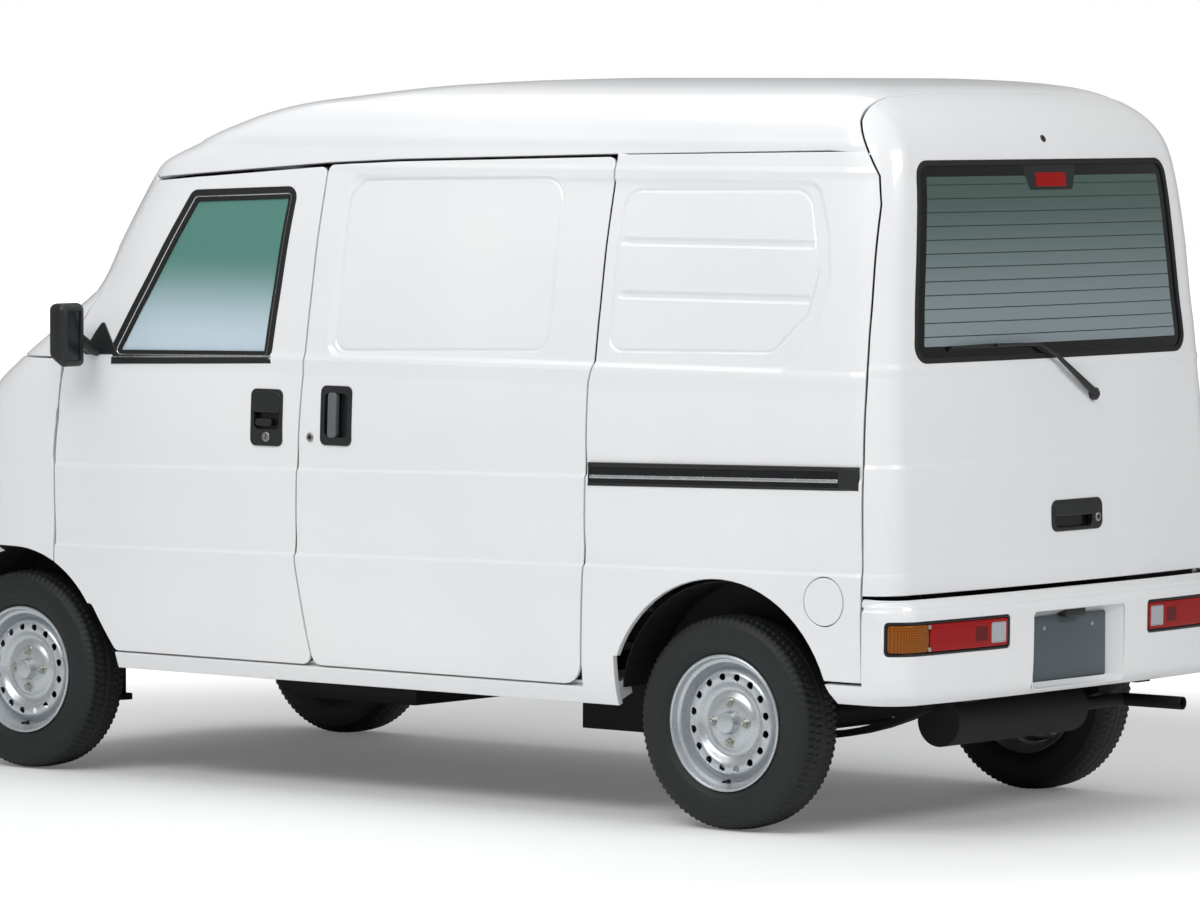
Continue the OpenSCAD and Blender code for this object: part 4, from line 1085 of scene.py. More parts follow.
# %% Quarter panels
rear_arch = [(REAR_AXLE + x, ARCH_Z + z) for x, z in arc(0, 0, REAR_ARCH_R, 23.6, 161, 26)]
QUARTER = ([(rx(442), 340), (fx(358), 340), (fx(358), SILL), (rx(330), SILL), (rx(330), 420)] + rear_arch
           + [(TAIL + 142, 394), (TAIL + 142, 900), (TAIL + 150, 1570), (TAIL + 162, 1640),
              (TAIL + 197, 1702),
              (rx(424), 1687), (rx(388), 1683), (rx(411), 1150), (rx(424), 1108), (rx(424), 896),
              (rx(430), 660)])
FUEL_DOOR = (rx(-334), 592)
FUEL_R = 60
CENTRE_PILLAR = [(fx(1082), 330), (fx(996), 330), (fx(1000), 1640), (fx(1086), 1640)]
fuel_hole = arc(FUEL_DOOR[0], FUEL_DOOR[1], FUEL_R + 2, 0, 350, 35)
for side, hand in HANDS:
    quarter = panel(f"quarter_panel_{hand}", along_side(QUARTER), "root", [enamel, enamel, interior_grey],
                    side=side,
                    lines=feature_lines(TAIL + 100, rx(442)), press=side_press, depth=16, step=36,
                    bands=[("a", TAIL - 100, TAIL + 190, 12)],
                    holes=[along_side(fuel_hole)] if side > 0 else [],
                    replaces=[f"side_panel_{hand}"])
    pillar = panel(f"centre_pillar_{hand}", along_side(CENTRE_PILLAR), "root", [enamel], side=side, sink=24,
                   depth=48, step=60)
    sill = panel(f"sill_box_{hand}", along_side([(rx(338), 297), (fx(384), 297), (fx(384), 352),
                                                 (rx(338), 352)]),
                 "root", [enamel], side=side, sink=20, depth=50, step=120)
    print(quarter.name, count(quarter, pillar, sill), "triangles")

# %% [markdown]
# ### High roof
# The roof is one pressing from the gutter up to the ridge. It is drawn as one
# half and mirrored, because both halves meet along the centre line. Two faint
# creases run along its side.

# %% Roof
gutter_line = [roof_point(x, z) for x, z in dense_path(GUTTER)]
seam_line = [roof_point(x, z) for x, z in dense_path(TAIL_SEAM_TOP, 8)]
ROOF_OUTLINE = [(ROOF_RUN, H(1652))] + gutter_line + seam_line + [(0, seam_line[-1][1]), (0, RIDGE),
                                                                  (ROOF_RUN, RIDGE)]


def roof_open(mid):
    return mid[0] < 0.5 or mid[0] > ROOF_RUN - 0.5 or mid[1] > RIDGE - 0.5


def roof_press(x, y, z):
    low = step_at(z - 1738 - 0.012 * (x + 700), 2.2, 14, 50) * ease((780 - x) / 200)
    high = step_at(z - 1822 - 0.004 * (x + 700), 2.5, 12, 34) * ease((480 - x) / 250)
    bead = 3.0 * ease((1712 - z) / 8) * ease((850 - x) / 100)
    return low + high - bead


roof = panel("roof_skin", ROOF_OUTLINE, "root", [enamel, enamel, interior_grey], domain="roof", step=42,
             depth=22,
             bands=[("h", H(1640), H(1860), 11), ("a", 0, 700, 22), ("a", 2300, ROOF_RUN, 22)],
             open_side=roof_open,
             halves=True, press=roof_press, replaces=["roof"])
print(roof.name, count(roof), "triangles")

# %% [markdown]
# ### Tailgate
# The tailgate wraps round both rear corners and reaches up into the roof. Its
# skin has the same lower crease as the side and a wide window opening.

# %% Tailgate
def mirrored(half):
    """Closes a half outline, from the lower centre to the upper centre, with its mirror image."""
    return list(half) + [(-a, h) for a, h in reversed(half)]


BACK_WINDOW = rounded([(-HALF + 150, 1182), (HALF - 150, 1182), (HALF - 205, 1672), (-HALF + 205, 1672)], 40,
                      6)
window_flat = [(y, H(z)) for y, z in dense_path(BACK_WINDOW + BACK_WINDOW[:1])[:-1]]
gate_half = [rear_point(x, z) for x, z in dense_path(TAIL_SEAM, 16) + dense_path(TAIL_SEAM_TOP, 8)[1:]]
GATE = mirrored(gate_half)
GATE_CREASE = 934


def gate_press(x, y, z):
    shoulder = step_at(z - GATE_CREASE, 5.0, 12, 150)
    lower = step_at(z - 668, 2.0, 10, 50)
    swell = 3.0 * ease(1 - np.abs(z - 1162) / 16)
    return shoulder + lower + swell


GATE_ROWS = (652, 658, 663, 668, 690, 922, 926, 930, 934, 950, 980, 1146, 1154, 1162, 1170, 1178)
gate_lines = [([(-900, H(z)), (900, H(z))], False) for z in GATE_ROWS]
gate = panel("tailgate_skin", GATE, "tailgate", [enamel, seal_rubber, interior_grey], domain="rear", step=38,
             bands=[("a", -900, -560, 12), ("a", 560, 900, 12), ("h", H(1660), RIDGE, 11)],
             holes=[window_flat, [(y, H(z)) for y, z in offset(GRIP_BOWL, -2)]],
             lines=gate_lines, press=gate_press, replaces=["back_door"])
print(gate.name, count(gate), "triangles")

# %% [markdown]
# ### Front panels
# The nose is drawn from its centre line outwards: windscreen frame, wings,
# front panel and the small service lid.

# %% Cab frame, wings, front panel and lid
SCREEN = rounded([(-HALF + 106, 1180), (HALF - 106, 1180), (HALF - 150, 1612), (-HALF + 150, 1612)], 45, 6)
WING_Y = HALF - 165
LID_LOW = 932
COWL = 1124


def front_y(y, z, skin=BODY):
    h = H(z) if skin is BODY else z
    a = float(skin["nose"](h) - skin["from_front_y"](abs(y), h))
    return (a if y >= 0 else -a), h


def facing(points):
    """A front-view outline in millimetres, as flat coordinates of the nose."""
    return [front_y(y, z) for y, z in dense_path(points + points[:1], 40)[:-1]]


PILLAR = [(fx(176), COWL), (fx(448), 1606), (fx(440), 1614), (fx(300), 1652)]
frame_half = [front_point(x, z) for x, z in dense_path(PILLAR, 24)]
cab_frame = panel("cab_frame_skin", mirrored(frame_half), "root", [enamel, enamel, interior_grey],
                  domain="front",
                  step=26, depth=34, holes=[facing(SCREEN)], replaces=["cab_frame"])
print(cab_frame.name, count(cab_frame), "triangles")
LAMP = rounded([(HALF - 310, 725), (HALF - 62, 750), (HALF - 62, 905), (HALF - 335, 893)], 25, 5)
wing_arch = [(FRONT_AXLE + x, ARCH_Z + z) for x, z in arc(0, 0, FRONT_ARCH_R, 91, 117.1, 6)]
wing_edge = dense_path(wing_arch + [(fx(148), 860), (fx(174), 1120), (fx(176), COWL)], 30)
lamp_flat = facing(LAMP)
for side, hand in HANDS:
    rim = [front_point(x, z) for x, z in wing_edge]
    inner_edge = [front_y(WING_Y, z) for z in np.linspace(COWL, BUMPER_TOP, 12)]
    wing = panel(f"front_wing_{hand}", rim + inner_edge, "root", [enamel, enamel], domain="front_half",
                 side=side,
                 step=22, depth=18, holes=[offset(lamp_flat, -1.5)],
                 replaces=["front_fenders"] if side > 0 else [])
    lens = panel(f"headlamp_lens_{hand}", lamp_flat, "root", [lens_clear, black_gloss], domain="front_half",
                 side=side,
                 step=18, depth=6, sink=1, gap=1, roll=1.5)
    print(wing.name, count(wing, lens), "triangles")


def across_front(z0, z1, y_edge):
    right = [front_y(-y_edge, z) for z in np.linspace(z0, z1, 8)]
    left = [front_y(y_edge, z) for z in np.linspace(z1, z0, 8)]
    return right + left


lamp_other = [(-a, h) for a, h in lamp_flat]
front_panel = panel("front_panel_skin", across_front(BUMPER_TOP, LID_LOW, WING_Y), "root", [enamel, enamel],
                    domain="front",
                    step=24, depth=22, holes=[offset(lamp_flat, -1.5), offset(lamp_other, -1.5)],
                    replaces=["front_panel"])
lid = panel("service_lid_skin", across_front(LID_LOW, COWL, WING_Y), "bonnet",
            [enamel, seal_rubber, black_grain],
            domain="front", step=24, depth=34, replaces=["front_lid"])
print(front_panel.name, lid.name, count(front_panel, lid), "triangles")

# %% [markdown]
# ### Bumpers
# Both bumpers are moulded covers in body colour on their own surface. The rear
# one has openings for the lamps and the plate, and a shelf above them with two
# fine steps.


# %% Bumpers
def bumper_rear(x, z):
    return float(REAR_BUMPER["from_x"](x, z) - REAR_BUMPER["rear"](z)), z


def bumper_front(x, z):
    return float(FRONT_BUMPER["nose"](z) - FRONT_BUMPER["from_x"](x, z)), z


def bumper_press(x, y, z):
    return -4.5 * ease((z - 572) / 7) - 2.5 * ease((z - 588) / 5)


LAMP_Z = (465, 550)
LAMP_Y = HALF - 437
LAMP_FRONT = TAIL + 76
lamp_outer = bumper_rear(LAMP_FRONT, 500)[0]
TAIL_LAMP = rounded([(LAMP_Y, LAMP_Z[0]), (lamp_outer, LAMP_Z[0]), (lamp_outer, LAMP_Z[1]),
                     (LAMP_Y, LAMP_Z[1])], 12, 4)
TAIL_LAMP_RIGHT = [(-a, h) for a, h in TAIL_LAMP]
PLATE_Y = 200
PLATE_Z = (355, 548)
RECESS = rounded([(-PLATE_Y, PLATE_Z[0]), (PLATE_Y, PLATE_Z[0]), (PLATE_Y, PLATE_Z[1]),
                  (-PLATE_Y, PLATE_Z[1])], 14, 4)
bumper_end = [(rx(-361), 338), (rx(-332), 391), (TAIL + 142, 391), (TAIL + 142, 611)]
rear_half = [bumper_rear(x, z) for x, z in dense_path(bumper_end, 20)]
rear_bumper = panel("rear_bumper_cover", mirrored([(0, 338)] + rear_half + [(0, 611)]), "root",
                    [enamel, enamel, black_grain], domain="rear", skin=REAR_BUMPER, step=26, depth=22,
                    press=bumper_press,
                    bands=[("a", -900, -560, 11), ("a", 560, 900, 11), ("h", 338, 400, 9)], roll=2,
                    lines=[([(-1100, z), (1100, z)], False) for z in (572, 574, 577, 579, 588, 590, 593)],
                    holes=[TAIL_LAMP, TAIL_LAMP_RIGHT, RECESS], replaces=["rear_bumper"])
front_edge = [(FRONT_AXLE + x, ARCH_Z + z) for x, z in arc(0, 0, FRONT_ARCH_R, -5.3, 89, 16)]
front_half = [bumper_front(x, z) for x, z in front_edge]
SLOT = rounded([(-260, 330), (260, 330), (260, 400), (-260, 400)], 16, 4)
slot_flat = [(front_y(y, z, FRONT_BUMPER)[0], z) for y, z in dense_path(SLOT + SLOT[:1], 40)[:-1]]
front_bumper = panel("front_bumper_cover", mirrored([(0, 250)] + front_half + [(0, 606)]), "root",
                     [enamel, enamel, black_grain], domain="front", skin=FRONT_BUMPER, step=24, depth=22,
                     roll=3,
                     bands=[("h", 250, 330, 10)], holes=[slot_flat], replaces=["front_bumper"])
print("bumpers", count(rear_bumper, front_bumper), "triangles")

# %% [markdown]
# ## Windows
# Each fixed pane has a black ceramic border baked on its edge and sits in a
# rubber surround. A door window has three rings: the outer rubber, a thin
# bright strip and the inner run channel.

# %% Panes and surrounds
def ring(name, outline, width, body, mat, domain, side=1, sink=0.0, depth=8, roll=1.2,
         step=40):
    """A flat moulding of one width along the inside of an outline."""
    return panel(name, outline, body, [mat], domain=domain, side=side, holes=[offset(outline, width)], gap=0,
                 roll=roll, sink=sink, depth=depth, step=step)


window_flat_side = along_side(WINDOW)
for side, hand in HANDS:
    body = f"door_{hand}"
    outer = ring(f"door_window_rubber_{hand}", offset(window_flat_side, -3), 17, body, seal_rubber, "side",
                 side, -1.5, 12)
    bright = ring(f"door_window_strip_{hand}", offset(window_flat_side, 13), 4, body, bright_trim, "side",
                  side, 0.5, 8, roll=1)
    channel = ring(f"door_window_channel_{hand}", offset(window_flat_side, 16), 12, body, seal_rubber,
                   "side", side, 3, 10)
    pane = panel(f"door_pane_{hand}", offset(window_flat_side, 14), body, [side_glass], side=side, gap=0,
                 roll=0.8,
                 sink=8, depth=4, replaces=[f"door_glass_{hand}"])
    print(pane.name, count(outer, bright, channel, pane), "triangles")

pane_edge = offset(window_flat, 1)
back_pane = panel("tailgate_pane", pane_edge, "tailgate", [frit_black, frit_black, frit_black, rear_glass],
                  domain="rear",
                  gap=0, roll=0.8, sink=3, depth=4, step=34, patches=[(offset(window_flat, 36), 3)],
                  replaces=["back_window"])
back_rubber = ring("tailgate_window_rubber", offset(window_flat, -5), 14, "tailgate", seal_rubber, "rear",
                   sink=-1.5, depth=9)
screen_flat = facing(SCREEN)
screen_pane = panel("windscreen_pane", offset(screen_flat, 1), "root",
                    [frit_black, frit_black, frit_black, screen_glass],
                    domain="front", gap=0, roll=0.8, sink=4, depth=5, step=26,
                    patches=[(offset(screen_flat, 38), 3)],
                    replaces=["windscreen"])
screen_rubber = ring("windscreen_rubber", offset(screen_flat, -5), 14, "root", seal_rubber, "front",
                     sink=-1.0, depth=9, step=26)
print("fixed panes", count(back_pane, back_rubber, screen_pane, screen_rubber), "triangles")

# %% [markdown]
# ## Outside fittings
# Handles, locks, rail, lamps and lids are small mouldings that sit on the same
# surface as the panels, so they use the same sheet tool: a negative sink lifts
# a piece proud of the skin.

# %% Small mouldings on the side
def on_side(name, shape, mat, side, body, proud=0.0, depth=6, roll=1.5, holes=(),
            replaces=(), step=30):
    return panel(name, along_side(shape), body, mat if isinstance(mat, list) else [mat], side=side, gap=0,
                 roll=roll,
                 sink=-proud, depth=depth, holes=[along_side(h) for h in holes],
                 replaces=replaces, step=step)


# %% [markdown]
# ### Door handles
# A front handle is a bezel with a pull flap over a dark finger bowl and a key
# lock under it. The sliding door has a taller bezel with an upright grip.

# %% Door handles
for side, hand in HANDS:
    body = f"door_{hand}"
    x0, z0 = PULL_X, PULL_Z
    bezel = box_shape(x0, x0 + 112, z0, z0 + 150, 18)
    pieces = [
        on_side(f"handle_bezel_{hand}", bezel, black_grain, side, body, 2.5, 14, 2, [PULL_BOWL]),
        on_side(f"handle_bowl_{hand}", box_shape(x0 + 6, x0 + 106, z0 + 36, z0 + 112, 14), black_gloss, side,
                body, -14, 4, 1),
        on_side(f"handle_flap_{hand}", box_shape(x0 + 9, x0 + 103, z0 + 88, z0 + 143, 12), black_grain, side,
                body, 5, 9, 3.5),
        on_side(f"handle_lip_{hand}", box_shape(x0 + 40, x0 + 97, z0 + 52, z0 + 72, 9), black_grain, side,
                body, 1.0, 8, 3),
        on_side(f"handle_lock_ring_{hand}", arc(x0 + 56, z0 + 24, 13, 0, 345, 23), zinc, side, body, 4, 6,
                1.5),
        on_side(f"handle_lock_slot_{hand}", box_shape(x0 + 54.6, x0 + 57.4, z0 + 17, z0 + 31, 1.2, 2),
                seal_rubber, side,
                body, 4.6, 5, 0.5),
    ]
    x0, z0 = SLIDE_X, SLIDE_Z
    pieces += [
        on_side(f"slider_bezel_{hand}", box_shape(x0, x0 + 108, z0, z0 + 156, 18), black_grain, side, "root",
                2.5, 14, 2,
                [SLIDE_BOWL]),
        on_side(f"slider_bowl_{hand}", box_shape(x0 + 9, x0 + 99, z0 + 16, z0 + 142, 14), black_gloss, side,
                "root", -14, 4, 1),
        on_side(f"slider_grip_{hand}", box_shape(x0 + 52, x0 + 82, z0 + 20, z0 + 138, 9), interior_grey,
                side, "root", 5, 14, 4),
        on_side(f"slider_lock_{hand}", arc(fx(1070) + 1, 940, 12, 0, 345, 23), zinc, side, "root", 2, 6,
                1.5),
        on_side(f"slider_lock_core_{hand}", arc(fx(1070) + 1, 940, 6, 0, 330, 11), black_gloss, side, "root",
                2.6, 5, 0.8),
    ]
    print("handles", hand, count(*pieces), "triangles")

# %% [markdown]
# ### Waist moulding and sliding rail
# A rubber strip with a bright insert seals the pane at the waist. The rail of
# the sliding door is a black channel with a bright running edge, closed by a
# cap at its rear end.

# %% Waist strip and rail
RAIL = [(rx(414), 850), (rx(414), 906), (TAIL + 152, 924), (TAIL + 152, 869)]


def rail_strip(low, high, x0=rx(414), x1=TAIL + 152):
    """Part of the rail between two shares of its height."""
    def height(x, share):
        t = (x - rx(414)) / (TAIL + 152 - rx(414))
        bottom, top = 850 + 19 * t, 906 + 18 * t
        return bottom + (top - bottom) * share
    return [(x0, height(x0, low)), (x0, height(x0, high)), (x1, height(x1, high)), (x1, height(x1, low))]


for side, hand in HANDS:
    waist = [(fx(352), 1112), (fx(352), 1130), (fx(926), 1146), (fx(926), 1128)]
    pieces = [
        on_side(f"waist_rubber_{hand}", waist, black_grain, side, f"door_{hand}", 4.5, 12, 2.5, step=60),
        on_side(f"waist_bright_{hand}", [(fx(354), 1128), (fx(354), 1133), (fx(924), 1149), (fx(924), 1144)],
                bright_trim,
                side, f"door_{hand}", 4.0, 8, 1, step=60),
        on_side(f"rail_channel_{hand}", RAIL, black_gloss, side, "root", 0.8, 10, 0.6,
                step=60, replaces=["sliding_rails"] if side > 0 else []),
        on_side(f"rail_top_lip_{hand}", rail_strip(0.86, 1.06), black_grain, side, "root", 3, 10, 2.5,
                step=60),
        on_side(f"rail_bottom_lip_{hand}", rail_strip(0.0, 0.12), black_grain, side, "root", 2.5, 10, 2,
                step=60),
        on_side(f"rail_bright_{hand}", rail_strip(0.34, 0.5, rx(414) - 6, TAIL + 214), bright_trim, side,
                "root", 2.2, 8, 1.6, step=60),
        on_side(f"rail_cap_{hand}", rail_strip(0.02, 1.0, TAIL + 212, TAIL + 153), black_grain, side, "root",
                3.4, 10, 3),
    ]
    print("strips", hand, count(*pieces), "triangles")

# %% [markdown]
# ### Filler lid
# A round lid on the left side covers the fuel filler and rides on its own
# hinge.

# %% Filler lid
lid_rim = arc(FUEL_DOOR[0], FUEL_DOOR[1], FUEL_R, 0, 352.5, 47)
filler = panel("filler_lid_skin", along_side(lid_rim), "filler_lid", [enamel, seal_rubber, black_grain],
               gap=0.5, roll=2,
               depth=8, step=12, press=side_press, replaces=["fuel_lid"])
print(filler.name, count(filler), "triangles")

# %% [markdown]
# ### Tail lamps
# Each lamp has an amber outer lens that bends round the corner, a long red
# lens with a darker reflector square, and a clear reversing square. A black
# edge frames them, and two screws hold the lenses where they meet.


# %% Tail lamps
def bumper_piece(name, shape, mats, sink=0.0, depth=6, roll=1.5, holes=(), hand=1,
                 replaces=(), step=24, patches=()):
    turned = [(a * hand, h) for a, h in shape]
    hole_list = [[(a * hand, h) for a, h in hole] for hole in holes]
    patch_list = [([(a * hand, h) for a, h in patch], index) for patch, index in patches]
    return panel(name, turned, "root", mats, domain="rear", skin=REAR_BUMPER, gap=0, roll=roll, sink=sink,
                 depth=depth,
                 holes=hole_list, patches=patch_list, replaces=replaces, step=step,
                 bands=[("a", -900, -600, 9), ("a", 600, 900, 9)])


AMBER_FROM = LAMP_Y + (lamp_outer - LAMP_Y) * 0.70
for side, hand in HANDS:
    z0, z1 = LAMP_Z[0] + 8, LAMP_Z[1] - 8
    inner, outer = LAMP_Y + 8, lamp_outer - 8
    red = rounded([(inner, z0), (AMBER_FROM - 1, z0), (AMBER_FROM - 1, z1), (inner, z1)], [9, 2, 2, 9], 3)
    amber = rounded([(AMBER_FROM + 1, z0), (outer, z0), (outer, z1), (AMBER_FROM + 1, z1)], [2, 9, 9, 2], 3)
    white = box_shape(inner + 12, inner + 66, z0 + 11, z1 - 11, 3, 2)
    dark = box_shape(inner + 84, inner + 132, z0 + 16, z1 - 16, 3, 2)
    pieces = [
        bumper_piece(f"lamp_frame_{hand}", TAIL_LAMP, [black_gloss], 2, 14, 2, [offset(TAIL_LAMP, 7)],
                     side,
                     ["tail_lamps"] if side > 0 else []),
        bumper_piece(f"lamp_back_{hand}", offset(TAIL_LAMP, 3), [black_gloss], 12, 4, 1, [],
                     side),
        bumper_piece(f"lamp_red_{hand}", red, [lens_red, lens_red, lens_red, lens_dark_red, lens_white], 1.5,
                     10, 3, hand=side,
                     patches=[(dark, 3)]),
        bumper_piece(f"lamp_reversing_{hand}", white, [lens_white], 0.6, 8, 1.5, hand=side),
        bumper_piece(f"lamp_reversing_edge_{hand}", offset(white, -3), [bright_trim], 1.2, 6, 1,
                     [offset(white, 0.5)],
                     side),
        bumper_piece(f"lamp_amber_{hand}", amber, [lens_amber], 1.5, 10, 4, hand=side),
    ]
    for k, z in enumerate((z0 + 7, z1 - 7)):
        pieces.append(bumper_piece(f"lamp_screw_{hand}_{k}", arc(AMBER_FROM, z, 6, 0, 330, 11), [zinc], -0.4,
                                   5, 1.6,
                                   hand=side))
    print("tail lamp", hand, count(*pieces), "triangles")

# %% [markdown]
# ### Plate recess
# The recess is a tray with slanted side walls. A blank plate is held in it by
# two screws, and a small lamp housing hangs from its roof.

# %% Plate recess, plate and plate lamp
tray = bmesh.new()
rim_points = offset(RECESS, -1)
back_points = [(a * (0.80 if a > 0 else 0.86), PLATE_Z[0] + 12 + (h - PLATE_Z[0]) * 0.86) for a,
               h in rim_points]
rim_loop = [tray.verts.new((TAIL + 4.5, a, h)) for a, h in rim_points]
back_loop = [tray.verts.new((TAIL + 45, a, h)) for a, h in back_points]
rim_edges = [tray.edges.new((rim_loop[i - 1], rim_loop[i])) for i in range(len(rim_loop))]
back_edges = [tray.edges.new((back_loop[i - 1], back_loop[i])) for i in range(len(back_loop))]
bmesh.ops.bridge_loops(tray, edges=rim_edges + back_edges)
tray.faces.new(back_loop)
bmesh.ops.solidify(tray, geom=list(tray.faces), thickness=-2.5)
bmesh.ops.recalc_face_normals(tray, faces=tray.faces)
bmesh.ops.scale(tray, verts=tray.verts, vec=(MM, MM, MM))
tray_piece = finish(tray, "plate_recess_tray", [enamel], "root", ["plate_carrier"],
                    smooth=30)


def slab(x, y0, y1, z0, z1, radius, thick, edge):
    """A flat plate with rounded corners that faces backwards."""
    bm = bmesh.new()
    face = bm.faces.new([bm.verts.new((x, y, z)) for y,
                         z in rounded([(y0, z0), (y1, z0), (y1, z1), (y0, z1)], radius, 5)])
    made = bmesh.ops.extrude_face_region(bm, geom=[face], use_keep_orig=True)
    bmesh.ops.translate(bm, verts=[g for g in made["geom"] if isinstance(g, bmesh.types.BMVert)],
                        vec=(thick, 0, 0))
    bmesh.ops.recalc_face_normals(bm, faces=bm.faces)
    rims = [e for e in bm.edges if all(abs(v.co.x - x) < 0.01 for v in e.verts)]
    bmesh.ops.bevel(bm, geom=rims, offset=edge, segments=2, affect="EDGES", profile=0.5, material=-1)
    bmesh.ops.scale(bm, verts=bm.verts, vec=(MM, MM, MM))
    return bm


plate = finish(slab(TAIL + 38, -165, 165, 366, 531, 8, 2.5, 0.8), "blank_plate", [plate_grey], "root")
screws = []
for k, y in enumerate((-105, 105)):
    bm = bmesh.new()
    bmesh.ops.create_cone(bm, cap_ends=True, segments=20, radius1=6 * MM, radius2=5 * MM, depth=3 * MM,
                          matrix=Matrix.Translation(((TAIL + 37) * MM, y * MM, 0.5))
                          @ Matrix.Rotation(-math.pi / 2, 4, "Y"))
    screws.append(finish(bm, f"plate_screw_{k}", [zinc], "root", bevel=0.6))
plate_lamp = finish(slab(TAIL + 14, -44, 44, 526, 545, 6, 22, 2.5), "plate_lamp", [black_grain], "root")
print("plate", count(tray_piece, plate, plate_lamp, *screws), "triangles")

# %% [markdown]
# ### Tailgate handle, high stop lamp and washer nozzle
# The handle is a bezel with a flap above a dark bowl, with its key lock to the
# right. The stop lamp hangs inside the top edge of the pane.


# %% Tailgate fittings
def on_gate(name, shape, mats, proud=0.0, depth=6, roll=1.5, holes=(), step=30):
    def flat(points):
        return [(y, H(z)) for y, z in dense_path(points + points[:1], 30)[:-1]]
    return panel(name, flat(shape), "tailgate", mats, domain="rear", gap=0, roll=roll, sink=-proud,
                 depth=depth,
                 holes=[flat(h) for h in holes], step=step)


gate_parts = [
    on_gate("gate_handle_bezel", box_shape(GRIP_Y - 112, GRIP_Y + 112, GRIP_Z - 40, GRIP_Z + 40, 22),
            [black_grain], 3, 14, 2.5,
            [GRIP_BOWL]),
    on_gate("gate_handle_bowl", box_shape(GRIP_Y - 72, GRIP_Y + 104, GRIP_Z - 36, GRIP_Z + 14, 16),
            [black_gloss], -14, 4, 1),
    on_gate("gate_handle_flap", box_shape(GRIP_Y - 70, GRIP_Y + 102, GRIP_Z - 2, GRIP_Z + 33, 12),
            [black_grain], 6, 10, 4),
    on_gate("gate_lock_ring", arc(GRIP_Y - 90, GRIP_Z - 10, 12, 0, 345, 23), [zinc], 5, 6, 1.5),
    on_gate("gate_lock_core", arc(GRIP_Y - 90, GRIP_Z - 10, 6, 0, 330, 11), [black_gloss], 5.6, 5, 0.8),
    on_gate("stop_lamp_housing", rounded([(-92, 1600), (92, 1600), (118, 1668), (-118, 1668)], 12, 4),
            [black_grain], -1.6, 8, 1.5),
    on_gate("stop_lamp_lens", box_shape(-66, 66, 1608, 1644, 6, 3), [lens_red], -0.6, 6, 2),
    on_gate("washer_nozzle", arc(0, 1728, 9, 0, 345, 23), [black_grain], 3, 6, 2.5),
]
print("tailgate fittings", count(*gate_parts), "triangles")

# %% [markdown]
# ### Rods and blades
# Wiper arms, mirror arms and piping are tubes along a few points: a small
# circle stands across the path at each point, and the circles are bridged.


# %% Tube along a path
def tube(points, radii, sides=12, flat=1.0):
    """Rings along a path, bridged. radii: one value or one a point. flat: width over height of the ring."""
    bm = bmesh.new()
    values = radii if isinstance(radii, (list, tuple)) else [radii] * len(points)
    spots = [Vector(p) for p in points]
    loops = []
    for i, spot in enumerate(spots):
        ahead = (spots[min(i + 1, len(spots) - 1)] - spots[max(i - 1, 0)]).normalized()
        turn = ahead.to_track_quat("Z", "Y").to_matrix().to_4x4()
        shape = Matrix.Diagonal((flat, 1, 1, 1))
        ring_made = bmesh.ops.create_circle(bm, segments=sides, radius=values[i],
                                            matrix=Matrix.Translation(spot) @ turn @ shape)
        loops.append(list(ring_made["verts"]))
    for a, b in zip(loops, loops[1:]):
        edges = [e for e in bm.edges if all(v in a for v in e.verts) or all(v in b for v in e.verts)]
        bmesh.ops.bridge_loops(bm, edges=edges)
    bmesh.ops.contextual_create(bm, geom=loops[0])
    bmesh.ops.contextual_create(bm, geom=loops[-1])
    bmesh.ops.recalc_face_normals(bm, faces=bm.faces)
    bmesh.ops.scale(bm, verts=bm.verts, vec=(MM, MM, MM))
    return bm


def gate_spot(y, z, proud):
    """A point that far outside the tailgate, in millimetres."""
    h = H(z)
    u = BODY["rear"](h) + abs(y)
    p = BODY["point"](np.array([float(u)]), np.array([h]))[0]
    return (p[0] - proud, math.copysign(p[1], y), p[2])


WIPER_PIVOT = (-136, 1082)
wiper_parts = [
    finish(tube([gate_spot(*WIPER_PIVOT, -2), gate_spot(*WIPER_PIVOT, 12), gate_spot(*WIPER_PIVOT, 17)],
                [17, 16, 10], 20),
           "wiper_pivot_cap", [black_grain], "tailgate", ["rear_wiper"]),
    finish(tube([gate_spot(*WIPER_PIVOT, 12), gate_spot(-96, 1104, 15), gate_spot(40, 1186, 17),
                 gate_spot(104, 1213, 15)],
                [9, 8.5, 5, 3.5], 10, 1.2), "wiper_arm", [black_grain], "tailgate"),
    finish(tube([gate_spot(104, 1213, 15), gate_spot(190, 1216, 15), gate_spot(288, 1216, 14)], [3.5, 4, 5],
                10),
           "wiper_arm_end", [black_grain], "tailgate"),
    finish(tube([gate_spot(y, 1215, 7) for y in (108, 190, 288, 380, 458)], [2.5, 4.5, 6, 4.5, 2.5], 8, 0.6),
           "wiper_blade_frame", [black_grain], "tailgate"),
    finish(tube([gate_spot(y, 1209, 1.5) for y in (106, 190, 288, 380, 460)], 3, 8, 0.5),
           "wiper_rubber", [seal_rubber], "tailgate"),
]
print("wiper", count(*wiper_parts), "triangles")

# %% [markdown]
# ### Door mirrors
# Each mirror is a rounded shell with a recessed pane that faces backwards and a
# short swivel arm on the front corner of the door. The shell starts as a cube
# that is rounded off and then pinched towards its front. A small black sail
# covers the corner of the window behind the arm.


# %% Door mirrors
def rounded_block(low, high, radius, segments=5):
    bm = bmesh.new()
    size = [b - a for a, b in zip(low, high)]
    centre = [(a + b) / 2 for a, b in zip(low, high)]
    bmesh.ops.create_cube(bm, size=1, matrix=Matrix.Translation(centre) @ Matrix.Diagonal((*size, 1)))
    bmesh.ops.bevel(bm, geom=list(bm.edges), offset=radius, segments=segments, affect="EDGES", profile=0.5,
                    material=-1)
    return bm


